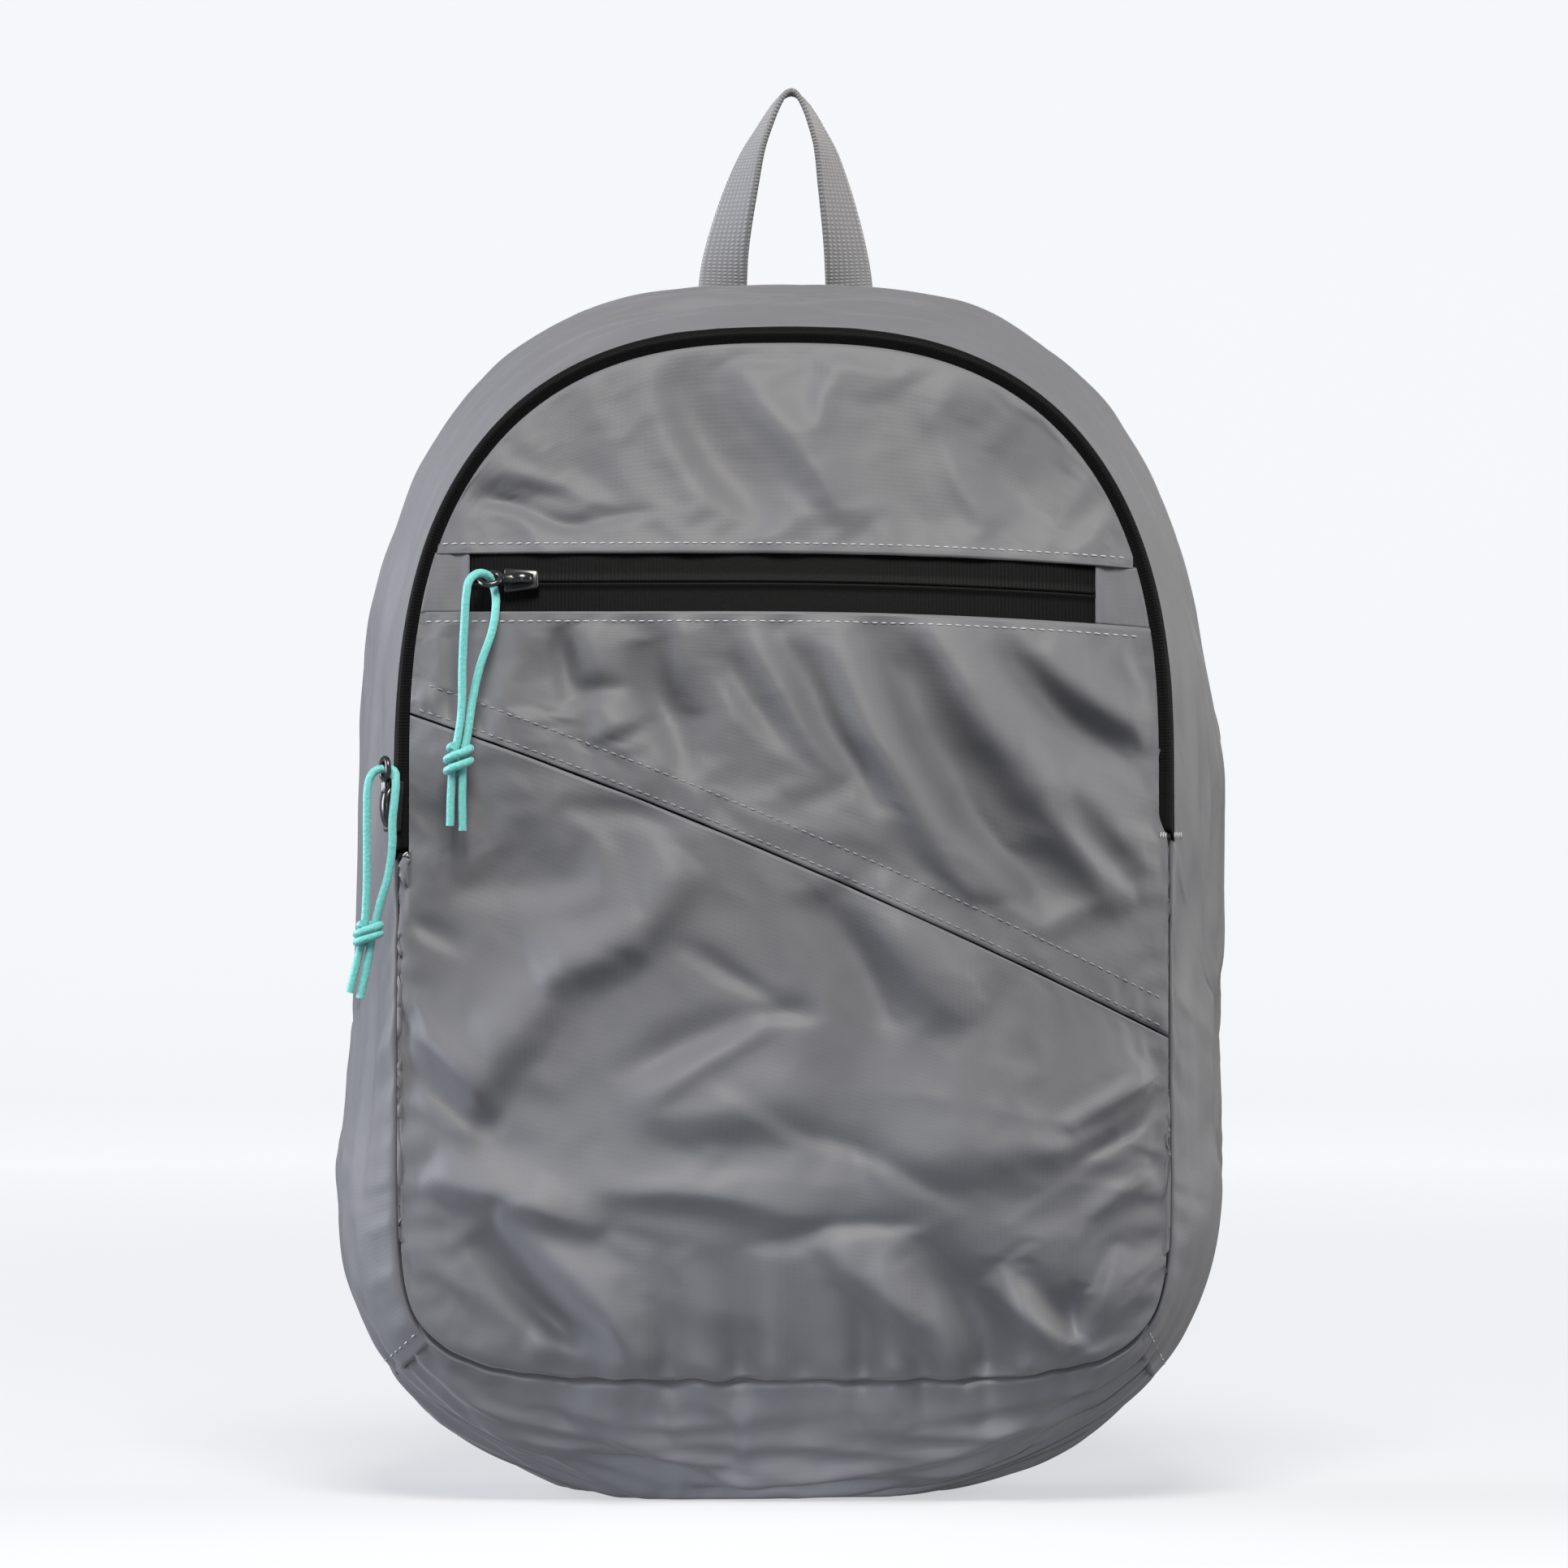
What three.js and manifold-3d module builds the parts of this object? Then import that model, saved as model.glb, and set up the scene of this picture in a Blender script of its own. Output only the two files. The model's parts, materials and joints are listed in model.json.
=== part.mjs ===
// A packable daypack of thin nylon: a crowned front cut into panels, a long gusset over the sides and top,
// a bottom panel, a back panel with shoulder straps, two coil zips with knotted cord pulls, and a webbing handle.
// Millimetres, +Z up. The front faces -Y, and the origin is on the floor in the middle of the flat foot.
import * as THREE from "three";
import { mergeVertices } from "three/addons/utils/BufferGeometryUtils.js";
import Module from "manifold-3d";

const wasm = await Module();
wasm.setup();
const { lerp, clamp, smoothstep } = THREE.MathUtils;
const vec = (x, y, z) => new THREE.Vector3(x, y, z);

// Driving dimensions
const CLOTH = 1.2; // thickness of the nylon walls
const GAP = 0.3; // clearance between neighbouring pieces
const SEAM_INSET = CLOTH + 2.6 * GAP; // a panel stops this far inside the gusset's edge

// Outlines seen from the front: straight sides, and a superellipse half above the shoulder and below the hip
const FRONT_SEAM = { halfWidth: 121, top: 369, shoulder: 230, hip: 110, bottom: 39, topPower: 2.6, bottomPower: 5 };
const GIRTH = { halfWidth: 139.5, top: 385, shoulder: 160, hip: 105, bottom: -2, topPower: 2.88, bottomPower: 2.48 };
const BACK_SEAM = { halfWidth: 127, top: 377, shoulder: 215, hip: 110, bottom: 25, topPower: 2.6, bottomPower: 3.4 };
const SAG = { shift: -4.5, below: 150 }; // the stuffing has sunk to the lower left
const SWAY = { shift: 2.5, from: 150, to: 290 }; // and above that the sides stand a little to the right

// Depths seen from the side
const FRONT_DEPTH = 56; // front seam to the middle plane, where it is deepest
const DEEPEST_Z = 150; // height at which the front seam is deepest
const LEAN_TOP = 18; // how far the front seam leans back at the top
const LEAN_BOTTOM = 8; // and at the bottom
const GIRTH_Y = 3; // the widest line runs just behind the middle plane
const GIRTH_LEAN = 7; // and leans back by this at the top
const BACK_DEPTH = 50; // back seam to the middle plane
const BACK_LEAN = 8; // how far the back seam comes forward at the top
const FRONT_CROWN = 19; // bulge of the stuffed front panel
const FOLD_DEPTH = 1.5; // depth of the front's folds as a share of the rises in their table
const STEEP_SIDE = 0.7; // width of a fold's lower side as a share of the width in the table
const SOFT_SIDE = 1.2; // width of its upper side
const CROWN_Z = 140; // height of the fullest place on the front
const BACK_CROWN = 6;
const SIDE_ROUND = 2.4; // roundness of the gusset from front to back, higher is squarer
const FOOT_ROUND = 3.4; // the bottom is squarer, so that the bag stands

// Seams and zips
const CORNER = 2.35; // place on the outline of the seam between gusset and bottom panel
const MAIN_ZIP = { halfWidth: 3.4, leftZ: 206, rightZ: 212 };
const POCKET_ZIP = { z: 289.5, halfWidth: 9.2, left: -98.5, right: 97.5, droop: 0.0003, droopFrom: -15 };
const DIAGONAL = { z: 203.5, slope: -0.425, bend: -0.00035 };

// Webbing, straps and cord
const HANDLE = { width: 15.4, thickness: 1.6, y: 45.1, untwisted: 0.24, twistPower: 0.75 };
const STRAP = { width: 46, neck: 34, thickness: 4 };
const LOWER_WEB = { width: 15, thickness: 1.4 };
const CORD = 2.6; // diameter of the zip pulls' cord
const CORD_SIDES = 8;

// Colours of the finished pieces
const finish = (color, roughness, metalness = 0) => new THREE.MeshStandardMaterial({ color, roughness, metalness });
const NYLON = finish(0x85868a, 0.5);
const BACK_NYLON = finish(0x77787c, 0.6);
const ZIP_TAPE = finish(0x1e1e1f, 0.55);
const SLIDER = finish(0x1a1a1b, 0.35, 0.4);
const WEBBING = finish(0x97989a, 0.7);
const STRAP_MESH = finish(0x5d5e62, 0.8);
const BUCKLE = finish(0x1c1c1d, 0.45);
const PULL_CORD = finish(0x55d3c9, 0.6);

const bag = new THREE.Group();

// Solids: three.js geometry in, booleans in the middle, three.js geometry out
function solid(geometry) {
  const bare = geometry.clone();
  bare.deleteAttribute("normal");
  bare.deleteAttribute("uv");
  const merged = mergeVertices(bare, 1e-4);
  const triVerts = new Uint32Array(merged.index.array);
  return new wasm.Manifold(new wasm.Mesh({ numProp: 3, vertProperties: merged.attributes.position.array, triVerts }));
}

function geometryOf(body) {
  const mesh = body.getMesh();
  const geometry = new THREE.BufferGeometry();
  geometry.setAttribute("position", new THREE.BufferAttribute(new Float32Array(mesh.vertProperties), 3));
  geometry.setIndex(new THREE.BufferAttribute(new Uint32Array(mesh.triVerts), 1));
  return geometry;
}

function add(name, geometry, material, parent = bag) {
  const mesh = new THREE.Mesh(geometry, material);
  mesh.name = name;
  parent.add(mesh);
  return mesh;
}

// A wall of even thickness: its outer face is at(u, v), and its inner face lies behind it, square to the face
// or straight along the vector behind
function sheet(columns, rows, at, { thickness = CLOTH, behind = null } = {}) {
  const step = 1e-3;
  const outer = [];
  const inner = [];
  for (let j = 0; j <= rows; j++) {
    for (let i = 0; i <= columns; i++) {
      const u = i / columns;
      const v = j / rows;
      const along = at(Math.min(1, u + step), v).sub(at(Math.max(0, u - step), v));
      const across = at(u, Math.min(1, v + step)).sub(at(u, Math.max(0, v - step)));
      const face = at(u, v);
      outer.push(face);
      inner.push(face.clone().addScaledVector(behind ?? along.cross(across).normalize().negate(), thickness));
    }
  }
  const wide = columns + 1;
  const back = outer.length;
  const faces = [];
  for (let j = 0; j < rows; j++) {
    for (let i = 0; i < columns; i++) {
      const a = j * wide + i;
      const b = a + 1;
      const c = b + wide;
      const d = a + wide;
      faces.push(a, b, c, a, c, d, back + a, back + c, back + b, back + a, back + d, back + c);
    }
  }
  const rim = [];
  for (let i = 0; i < columns; i++) rim.push(i);
  for (let j = 0; j < rows; j++) rim.push(j * wide + columns);
  for (let i = columns; i > 0; i--) rim.push(rows * wide + i);
  for (let j = rows; j > 0; j--) rim.push(j * wide);
  rim.forEach((a, k) => {
    const b = rim[(k + 1) % rim.length];
    faces.push(b, a, back + a, b, back + a, back + b);
  });
  return new THREE.BufferGeometry().setFromPoints([...outer, ...inner]).setIndex(faces);
}

// Outlines: a place runs from 0 at the top centre, over 1 at the shoulder and 2 at the hip, to 3 at the bottom
// centre, and is negative on the left
class SuperQuarter extends THREE.Curve {
  constructor(width, rise, power) {
    super();
    Object.assign(this, { width, rise, power });
  }

  getPoint(f, target = new THREE.Vector2()) {
    const angle = (f * Math.PI) / 2;
    const round = 2 / this.power;
    return target.set(this.width * Math.sin(angle) ** round, this.rise * Math.max(0, Math.cos(angle)) ** round);
  }
}

for (const line of [FRONT_SEAM, GIRTH, BACK_SEAM]) {
  line.upper = new SuperQuarter(line.halfWidth, line.top - line.shoulder, line.topPower);
  line.lower = new SuperQuarter(line.halfWidth, line.hip - line.bottom, line.bottomPower);
}

function outlineAt(line, place) {
  const side = Math.sign(place) || 1;
  const run = Math.min(Math.abs(place), 3);
  if (run <= 1) {
    const p = line.upper.getPointAt(run);
    return { x: side * p.x, z: line.shoulder + p.y };
  }
  if (run <= 2) return { x: side * line.halfWidth, z: lerp(line.shoulder, line.hip, run - 1) };
  const p = line.lower.getPointAt(3 - run);
  return { x: side * p.x, z: line.hip - p.y };
}

function halfWidthAt(line, z) {
  const above = clamp((z - line.shoulder) / (line.top - line.shoulder), 0, 1);
  const below = clamp((line.hip - z) / (line.hip - line.bottom), 0, 1);
  const power = above > 0 ? line.topPower : line.bottomPower;
  return line.halfWidth * (1 - Math.max(above, below) ** power) ** (1 / power);
}

// Side profile
function frontSeamY(z) {
  const up = clamp((z - DEEPEST_Z) / (FRONT_SEAM.top - DEEPEST_Z), 0, 1.2);
  const down = clamp((DEEPEST_Z - z) / (DEEPEST_Z - FRONT_SEAM.bottom), 0, 1.2);
  return -FRONT_DEPTH + LEAN_TOP * up ** 2 + LEAN_BOTTOM * down ** 2;
}
const girthY = (z) => GIRTH_Y + GIRTH_LEAN * (z / GIRTH.top) ** 2;
const backSeamY = (z) => BACK_DEPTH - BACK_LEAN * (z / BACK_SEAM.top) ** 2;

// Folds of the front, seen from the front: a ridge has a positive rise and a valley a negative one
const FRONT_FOLDS = [
  { fold: "valley under the zip", x1: 22, z1: 277, x2: 84, z2: 184, width: 10, rise: -5 },
  { fold: "ridge beside it", x1: 42, z1: 277, x2: 106, z2: 184, width: 10, rise: 5 },
  { fold: "ridge at its left", x1: 4, z1: 277, x2: 62, z2: 188, width: 9, rise: 4 },
  { fold: "ridge at the right edge", x1: 70, z1: 275, x2: 119, z2: 238, width: 8, rise: 3 },
  { fold: "valley at the right edge", x1: 62, z1: 268, x2: 117, z2: 224, width: 7, rise: -3 },
  { fold: "ridge by the cord", x1: -62, z1: 277, x2: -50, z2: 236, width: 9, rise: 2.5 },
  { fold: "valley by the cord", x1: -44, z1: 270, x2: -28, z2: 228, width: 8, rise: -2.5 },
  { fold: "hollow below the zip", x1: -84, z1: 262, x2: -18, z2: 244, width: 14, rise: -2.5 },
  { fold: "upper left crease", x1: -104, z1: 312, x2: -52, z2: 322, width: 7, rise: -2 },
  { fold: "upper slant valley", x1: -42, z1: 360, x2: -4, z2: 304, width: 10, rise: -3 },
  { fold: "upper middle ridge", x1: -14, z1: 360, x2: 20, z2: 304, width: 9, rise: 3 },
  { fold: "upper right valley", x1: 46, z1: 340, x2: 96, z2: 304, width: 12, rise: -2.5 },
  { fold: "left shoulder slope", x1: -108, z1: 118, x2: -70, z2: 170, width: 13, rise: 4 },
  { fold: "middle shoulder slope", x1: -78, z1: 167, x2: -42, z2: 179, width: 12, rise: 4 },
  { fold: "seam shoulder slope", x1: -48, z1: 173, x2: -30, z2: 204, width: 10, rise: 3.5 },
  { fold: "left hollow", x1: -104, z1: 196, x2: -58, z2: 198, width: 8, rise: -2.5 },
  { fold: "ridge beside the hollow", x1: 18, z1: 192, x2: 58, z2: 152, width: 11, rise: 4.5 },
  { fold: "hollow below the seam", x1: 6, z1: 190, x2: 40, z2: 152, width: 10, rise: -3 },
  { fold: "right belly slope", x1: 24, z1: 114, x2: 116, z2: 120, width: 18, rise: 4 },
  { fold: "packing crease", x1: -52, z1: 132, x2: -10, z2: 158, width: 6, rise: -2.5 },
  { fold: "belly slope", x1: -52, z1: 128, x2: 14, z2: 125, width: 12, rise: 3 },
  { fold: "left level fold", x1: -112, z1: 105, x2: -56, z2: 91, width: 9, rise: 4.5 },
  { fold: "level fold", x1: -62, z1: 105, x2: 14, z2: 92, width: 7, rise: 2.5 },
  { fold: "corner ridge", x1: -88, z1: 95, x2: -36, z2: 37, width: 9, rise: 6 },
  { fold: "corner valley", x1: -98, z1: 84, x2: -50, z2: 38, width: 8, rise: -4 },
  { fold: "corner facet", x1: -80, z1: 52, x2: -42, z2: 41, width: 8, rise: 3.5 },
  { fold: "gather 1", x1: 12, z1: 88, x2: 56, z2: 38, width: 8, rise: 4 },
  { fold: "gather 2", x1: 44, z1: 90, x2: 65, z2: 38, width: 8, rise: -4.5 },
  { fold: "gather 3", x1: 62, z1: 74, x2: 93, z2: 40, width: 8, rise: 3.5 },
  { fold: "gather 4", x1: 72, z1: 80, x2: 98, z2: 46, width: 7, rise: -3.5 },
];

function foldRise(row, x, z) {
  const run = { x: row.x2 - row.x1, z: row.z2 - row.z1 };
  const length = Math.hypot(run.x, run.z);
  const along = ((x - row.x1) * run.x + (z - row.z1) * run.z) / length ** 2;
  if (along <= 0 || along >= 1) return 0;
  const off = ((x - row.x1) * run.z - (z - row.z1) * run.x) / length;
  const reach = row.width * (off > 0 ? STEEP_SIDE : SOFT_SIDE);
  return row.rise * Math.exp(-((off / reach) ** 2)) * Math.sin(Math.PI * along) ** 0.7;
}

function frontY(x, z) {
  const aside = clamp(Math.abs(x) / Math.max(1, halfWidthAt(FRONT_SEAM, z)), 0, 1);
  const above = clamp((z - CROWN_Z) / (FRONT_SEAM.top - CROWN_Z), 0, 1);
  const below = clamp((CROWN_Z - z) / (CROWN_Z - FRONT_SEAM.bottom), 0, 1);
  const fullness = (1 - aside ** 2.6) * (1 - above ** 2.2) * (1 - below ** 3);
  const folds = FRONT_FOLDS.reduce((sum, row) => sum + foldRise(row, x, z), 0);
  return frontSeamY(z) - FRONT_CROWN * fullness - FOLD_DEPTH * folds * Math.min(1, 6 * fullness);
}

// Gusset and bottom panel: one band round the bag, across = 0 at the front seam and 1 at the back seam
const GUSSET_FOLDS = [
  { fold: "left top roll", place: -0.25, reach: 0.3, across: 0.42, width: 0.1, rise: 2.2 },
  { fold: "right top roll", place: 0.28, reach: 0.3, across: 0.4, width: 0.1, rise: 2.2 },
  { fold: "right top valley", place: 0.3, reach: 0.26, across: 0.62, width: 0.09, rise: -2 },
  { fold: "left side valley", place: -1.6, reach: 0.8, across: 0.36, width: 0.1, rise: -2.2 },
  { fold: "left side roll", place: -1.7, reach: 0.8, across: 0.7, width: 0.12, rise: 2 },
  { fold: "right side dent", place: 0.86, reach: 0.1, across: 0.5, width: 0.22, rise: -1.6 },
  { fold: "right side roll", place: 1.7, reach: 0.8, across: 0.27, width: 0.1, rise: 2 },
  { fold: "left corner roll", place: -2.1, reach: 0.3, across: 0.22, width: 0.09, rise: 2 },
  { fold: "right corner roll", place: 2.1, reach: 0.3, across: 0.24, width: 0.09, rise: 2 },
];

function gussetPoint(place, across) {
  const f = outlineAt(FRONT_SEAM, place);
  const g = outlineAt(GIRTH, place);
  const b = outlineAt(BACK_SEAM, place);
  const front = vec(f.x, frontSeamY(f.z), f.z);
  const sag = SAG.shift * clamp(1 - g.z / SAG.below, 0, 1);
  const sway = SWAY.shift * Math.sin(Math.PI * clamp((g.z - SWAY.from) / (SWAY.to - SWAY.from), 0, 1)) ** 2;
  const girth = vec(g.x + sag + sway, girthY(g.z), g.z);
  const back = vec(b.x, backSeamY(b.z), b.z);
  const round = lerp(FOOT_ROUND, SIDE_ROUND, smoothstep(3 - Math.abs(place), 0.3, 1.4));
  const bulge = girth.sub(front.clone().lerp(back, 0.5));
  const out = bulge.clone().normalize();
  const point = front.lerp(back, across).addScaledVector(bulge, 1 - Math.abs(2 * across - 1) ** round);
  for (const row of GUSSET_FOLDS) {
    const along = (place - row.place) / row.reach;
    const off = (across - row.across) / row.width;
    if (Math.abs(along) < 1) point.addScaledVector(out, row.rise * (1 - along ** 2) ** 2 * Math.exp(-(off ** 2)));
  }
  point.z = Math.max(0, point.z);
  return point;
}

function gussetWidth(place) {
  const [front, middle, back] = [0, 0.5, 1].map((across) => gussetPoint(place, across));
  return front.distanceTo(middle) + middle.distanceTo(back);
}

// Zip ends as places on the straight part of the front seam
const sidePlace = (z) => 1 + (FRONT_SEAM.shoulder - z) / (FRONT_SEAM.shoulder - FRONT_SEAM.hip);
const ZIP_LEFT = -sidePlace(MAIN_ZIP.leftZ);
const ZIP_RIGHT = sidePlace(MAIN_ZIP.rightZ);
const STEP = 0.004; // half the length of the step at a zip's end
const zipShare = (place) => (place > ZIP_LEFT && place < ZIP_RIGHT ? 1 : 0);

// Places from one to another, and the same with a step at each end of the main zip
const spaced = (from, to, count) => Array.from({ length: count + 1 }, (_, i) => lerp(from, to, i / count));
const steppedPlaces = (end, sideCount, zipCount) => [
  ...spaced(-end, ZIP_LEFT - STEP, sideCount),
  ...spaced(ZIP_LEFT + STEP, ZIP_RIGHT - STEP, zipCount),
  ...spaced(ZIP_RIGHT + STEP, end, sideCount),
];

function between(list, u) {
  const k = Math.min(Math.floor(u * (list.length - 1)), list.length - 2);
  return lerp(list[k], list[k + 1], u * (list.length - 1) - k);
}

const gussetPlaces = steppedPlaces(CORNER - STEP, 13, 36);
const gusset = sheet(gussetPlaces.length - 1, 7, (u, v) => {
  const place = between(gussetPlaces, u);
  const start = ((MAIN_ZIP.halfWidth + 2 * GAP) / gussetWidth(place)) * zipShare(place);
  return gussetPoint(place, lerp(start, 1, v));
});
add("side_gusset", gusset, NYLON);

const bottomPlace = (u) => (u < 0.5 ? lerp(CORNER + STEP, 3, 2 * u) : lerp(-3, -CORNER - STEP, 2 * u - 1));
add("bottom_panel", sheet(20, 7, (u, v) => gussetPoint(bottomPlace(u), v)), NYLON);

// Front: one folded sheet, cut into its panels by prisms that follow the seams
const frontSheet = solid(
  sheet(24, 34, (u, v) => {
    const x = lerp(-FRONT_SEAM.halfWidth, FRONT_SEAM.halfWidth, u);
    const z = lerp(FRONT_SEAM.bottom - 2, FRONT_SEAM.top + 2, v);
    return vec(x, frontY(x, z), z);
  }),
);

const PRISM_DEPTH = 200;
function prism(points, y) {
  const shape = new THREE.Shape(points.map((p) => new THREE.Vector2(p.x, p.z)));
  const geometry = new THREE.ExtrudeGeometry(shape, { depth: PRISM_DEPTH, bevelEnabled: false });
  return solid(geometry.rotateX(Math.PI / 2).translate(0, y, 0));
}

// A line inside an outline, inset(place) from it
function insetLine(line, places, inset) {
  return places.map((place) => {
    const p = outlineAt(line, place);
    const ahead = outlineAt(line, clamp(place + STEP, -3, 3));
    const behind = outlineAt(line, clamp(place - STEP, -3, 3));
    const tangent = new THREE.Vector2(ahead.x - behind.x, ahead.z - behind.z).normalize();
    return { x: p.x + tangent.y * inset(place), z: p.z - tangent.x * inset(place) };
  });
}

// The band between two height functions, from x = left to x = right
function band(lower, upper, left = -PRISM_DEPTH, right = PRISM_DEPTH) {
  const count = 24;
  const xs = Array.from({ length: count + 1 }, (_, i) => lerp(left, right, i / count));
  return prism([...xs.map((x) => ({ x, z: lower(x) })), ...xs.reverse().map((x) => ({ x, z: upper(x) }))], 0);
}

const zipLine = (x) => POCKET_ZIP.z - POCKET_ZIP.droop * Math.max(0, x - POCKET_ZIP.droopFrom) ** 2;
const diagonalLine = (x) => DIAGONAL.z + DIAGONAL.slope * x + DIAGONAL.bend * x ** 2;
const aboveAll = () => FRONT_SEAM.top + 20;
const belowAll = () => FRONT_SEAM.bottom - 20;
const raised = (line, by) => (x) => line(x) + by;

const panelInset = (place) => SEAM_INSET + MAIN_ZIP.halfWidth * zipShare(place);
const panelOutline = insetLine(FRONT_SEAM, steppedPlaces(3, 26, 42), panelInset).slice(1);
const frontCloth = frontSheet.intersect(prism(panelOutline, 0));
const frontPiece = (cutter) => geometryOf(frontCloth.intersect(cutter).simplify(GAP / 2));

const zipTop = raised(zipLine, POCKET_ZIP.halfWidth);
const zipBottom = raised(zipLine, -POCKET_ZIP.halfWidth);
const half = GAP / 2;
add("front_panel_upper", frontPiece(band(raised(zipTop, half), aboveAll)), NYLON);
add("front_panel_middle", frontPiece(band(raised(diagonalLine, half), raised(zipBottom, -half))), NYLON);
add("front_panel_lower", frontPiece(band(belowAll, raised(diagonalLine, -half))), NYLON);
const zipWindow = [raised(zipBottom, half), raised(zipTop, -half)];
add("pocket_zip_tab_left", frontPiece(band(...zipWindow, -PRISM_DEPTH, POCKET_ZIP.left - half)), NYLON);
add("pocket_zip_tab_right", frontPiece(band(...zipWindow, POCKET_ZIP.right + half, PRISM_DEPTH)), NYLON);

// Zip tapes that lie on the front are narrow strips of the same face
const AFT = vec(0, 1, 0);
const onFront = (x, z) => vec(x, frontY(x, z), z);
for (const [name, lower, upper] of [
  ["upper", raised(zipLine, half), zipWindow[1]],
  ["lower", zipWindow[0], raised(zipLine, -half)],
]) {
  const tape = sheet(
    26,
    1,
    (u, v) => {
      const x = lerp(POCKET_ZIP.left + half, POCKET_ZIP.right - half, u);
      return onFront(x, lerp(lower(x), upper(x), v));
    },
    { behind: AFT },
  );
  add("pocket_zip_tape_" + name, tape, ZIP_TAPE);
}

// Main zip: the inner tape lies on the front's edge and the outer tape on the gusset's edge
const tapePlaces = spaced(ZIP_LEFT + 2 * STEP, ZIP_RIGHT - 2 * STEP, 50);
const tapeLine = (inset) => insetLine(FRONT_SEAM, tapePlaces, () => inset).map((p) => onFront(p.x, p.z));
const tapeEdges = [tapeLine(SEAM_INSET + MAIN_ZIP.halfWidth - 2 * GAP), tapeLine(SEAM_INSET)];
const innerTape = sheet(50, 1, (u, v) => tapeEdges[Math.round(v)][Math.round(50 * u)].clone(), { behind: AFT });
add("main_zip_tape_inner", innerTape, ZIP_TAPE);
const outerTape = sheet(50, 1, (u, v) => {
  const place = between(tapePlaces, u);
  return gussetPoint(place, (v * MAIN_ZIP.halfWidth) / gussetWidth(place));
});
add("main_zip_tape_outer", outerTape, ZIP_TAPE);

// Back panel: gently crowned, set inside the gusset's back edge
function backY(x, z) {
  const aside = clamp(Math.abs(x) / BACK_SEAM.halfWidth, 0, 1);
  const middle = (BACK_SEAM.top + BACK_SEAM.bottom) / 2;
  const away = clamp(Math.abs(z - middle) / (BACK_SEAM.top - middle), 0, 1);
  return backSeamY(z) + BACK_CROWN * (1 - aside ** 2) * (1 - away ** 2);
}
const backSheet = solid(
  sheet(8, 11, (u, v) => {
    const x = lerp(BACK_SEAM.halfWidth, -BACK_SEAM.halfWidth, u);
    const z = lerp(BACK_SEAM.bottom - 2, BACK_SEAM.top + 2, v);
    return vec(x, backY(x, z), z);
  }),
);
const backOutline = insetLine(BACK_SEAM, spaced(-3, 3, 60), () => SEAM_INSET).slice(1);
add("back_panel", geometryOf(backSheet.intersect(prism(backOutline, PRISM_DEPTH / 2)).simplify(GAP / 3)), BACK_NYLON);

// A flat strip along a path: at(u) gives its middle and across(u) its half width as a vector
function strip(steps, at, across, thickness, columns = 1) {
  return sheet(steps, columns, (u, v) => at(u).addScaledVector(across(u), 2 * v - 1), { thickness });
}

// Top handle: a webbing loop that leans to the right. Its feet face forward, and it twists until its top lies across
const HANDLE_PATH = [
  { x: -20.5, z: 366 },
  { x: -20, z: 382 },
  { x: -18.2, z: 399 },
  { x: -13, z: 420 },
  { x: -7.2, z: 436 },
  { x: 2.4, z: 450 },
  { x: 11.2, z: 436 },
  { x: 15.7, z: 420 },
  { x: 19.7, z: 399 },
  { x: 21.5, z: 382 },
  { x: 22, z: 366 },
];
const handlePath = new THREE.CatmullRomCurve3(HANDLE_PATH.map((p) => vec(p.x, HANDLE.y, p.z)));
add(
  "top_handle",
  strip(
    24,
    (u) => handlePath.getPointAt(u),
    (u) => {
      const climbed = 1 - Math.abs(2 * u - 1);
      const twist = clamp((climbed - HANDLE.untwisted) / (1 - HANDLE.untwisted), 0, 1) ** HANDLE.twistPower;
      const turn = (Math.PI / 2) * (u < 0.5 ? twist : 2 - twist);
      return vec(-Math.cos(turn), Math.sin(turn), 0).multiplyScalar(-HANDLE.width / 2);
    },
    HANDLE.thickness,
    2,
  ),
  WEBBING,
);

// Shoulder straps: padded strips from the top of the back, a buckle, and webbing to the lower corners
const STRAP_PATH = [
  { x: 47, y: 44.2, z: 362, halfWidth: STRAP.neck / 2 },
  { x: 48, y: 55, z: 349, halfWidth: 19 },
  { x: 52, y: 70, z: 314, halfWidth: STRAP.width / 2 },
  { x: 58, y: 76, z: 260, halfWidth: STRAP.width / 2 },
  { x: 67, y: 73, z: 206, halfWidth: 20 },
  { x: 75.5, y: 64, z: 159, halfWidth: 11 },
];
const BUCKLE_SIZE = { width: 24, height: 22, bar: 5, web: 2, x: 76.5, y: 66.4, z: 147.5 };
const LOWER_WEB_PATH = [
  { x: 77.5, y: 59.4, z: 147 },
  { x: 88, y: 58.4, z: 113 },
  { x: 98, y: 55, z: 84 },
  { x: 108, y: 51.2, z: 56 },
];

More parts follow.
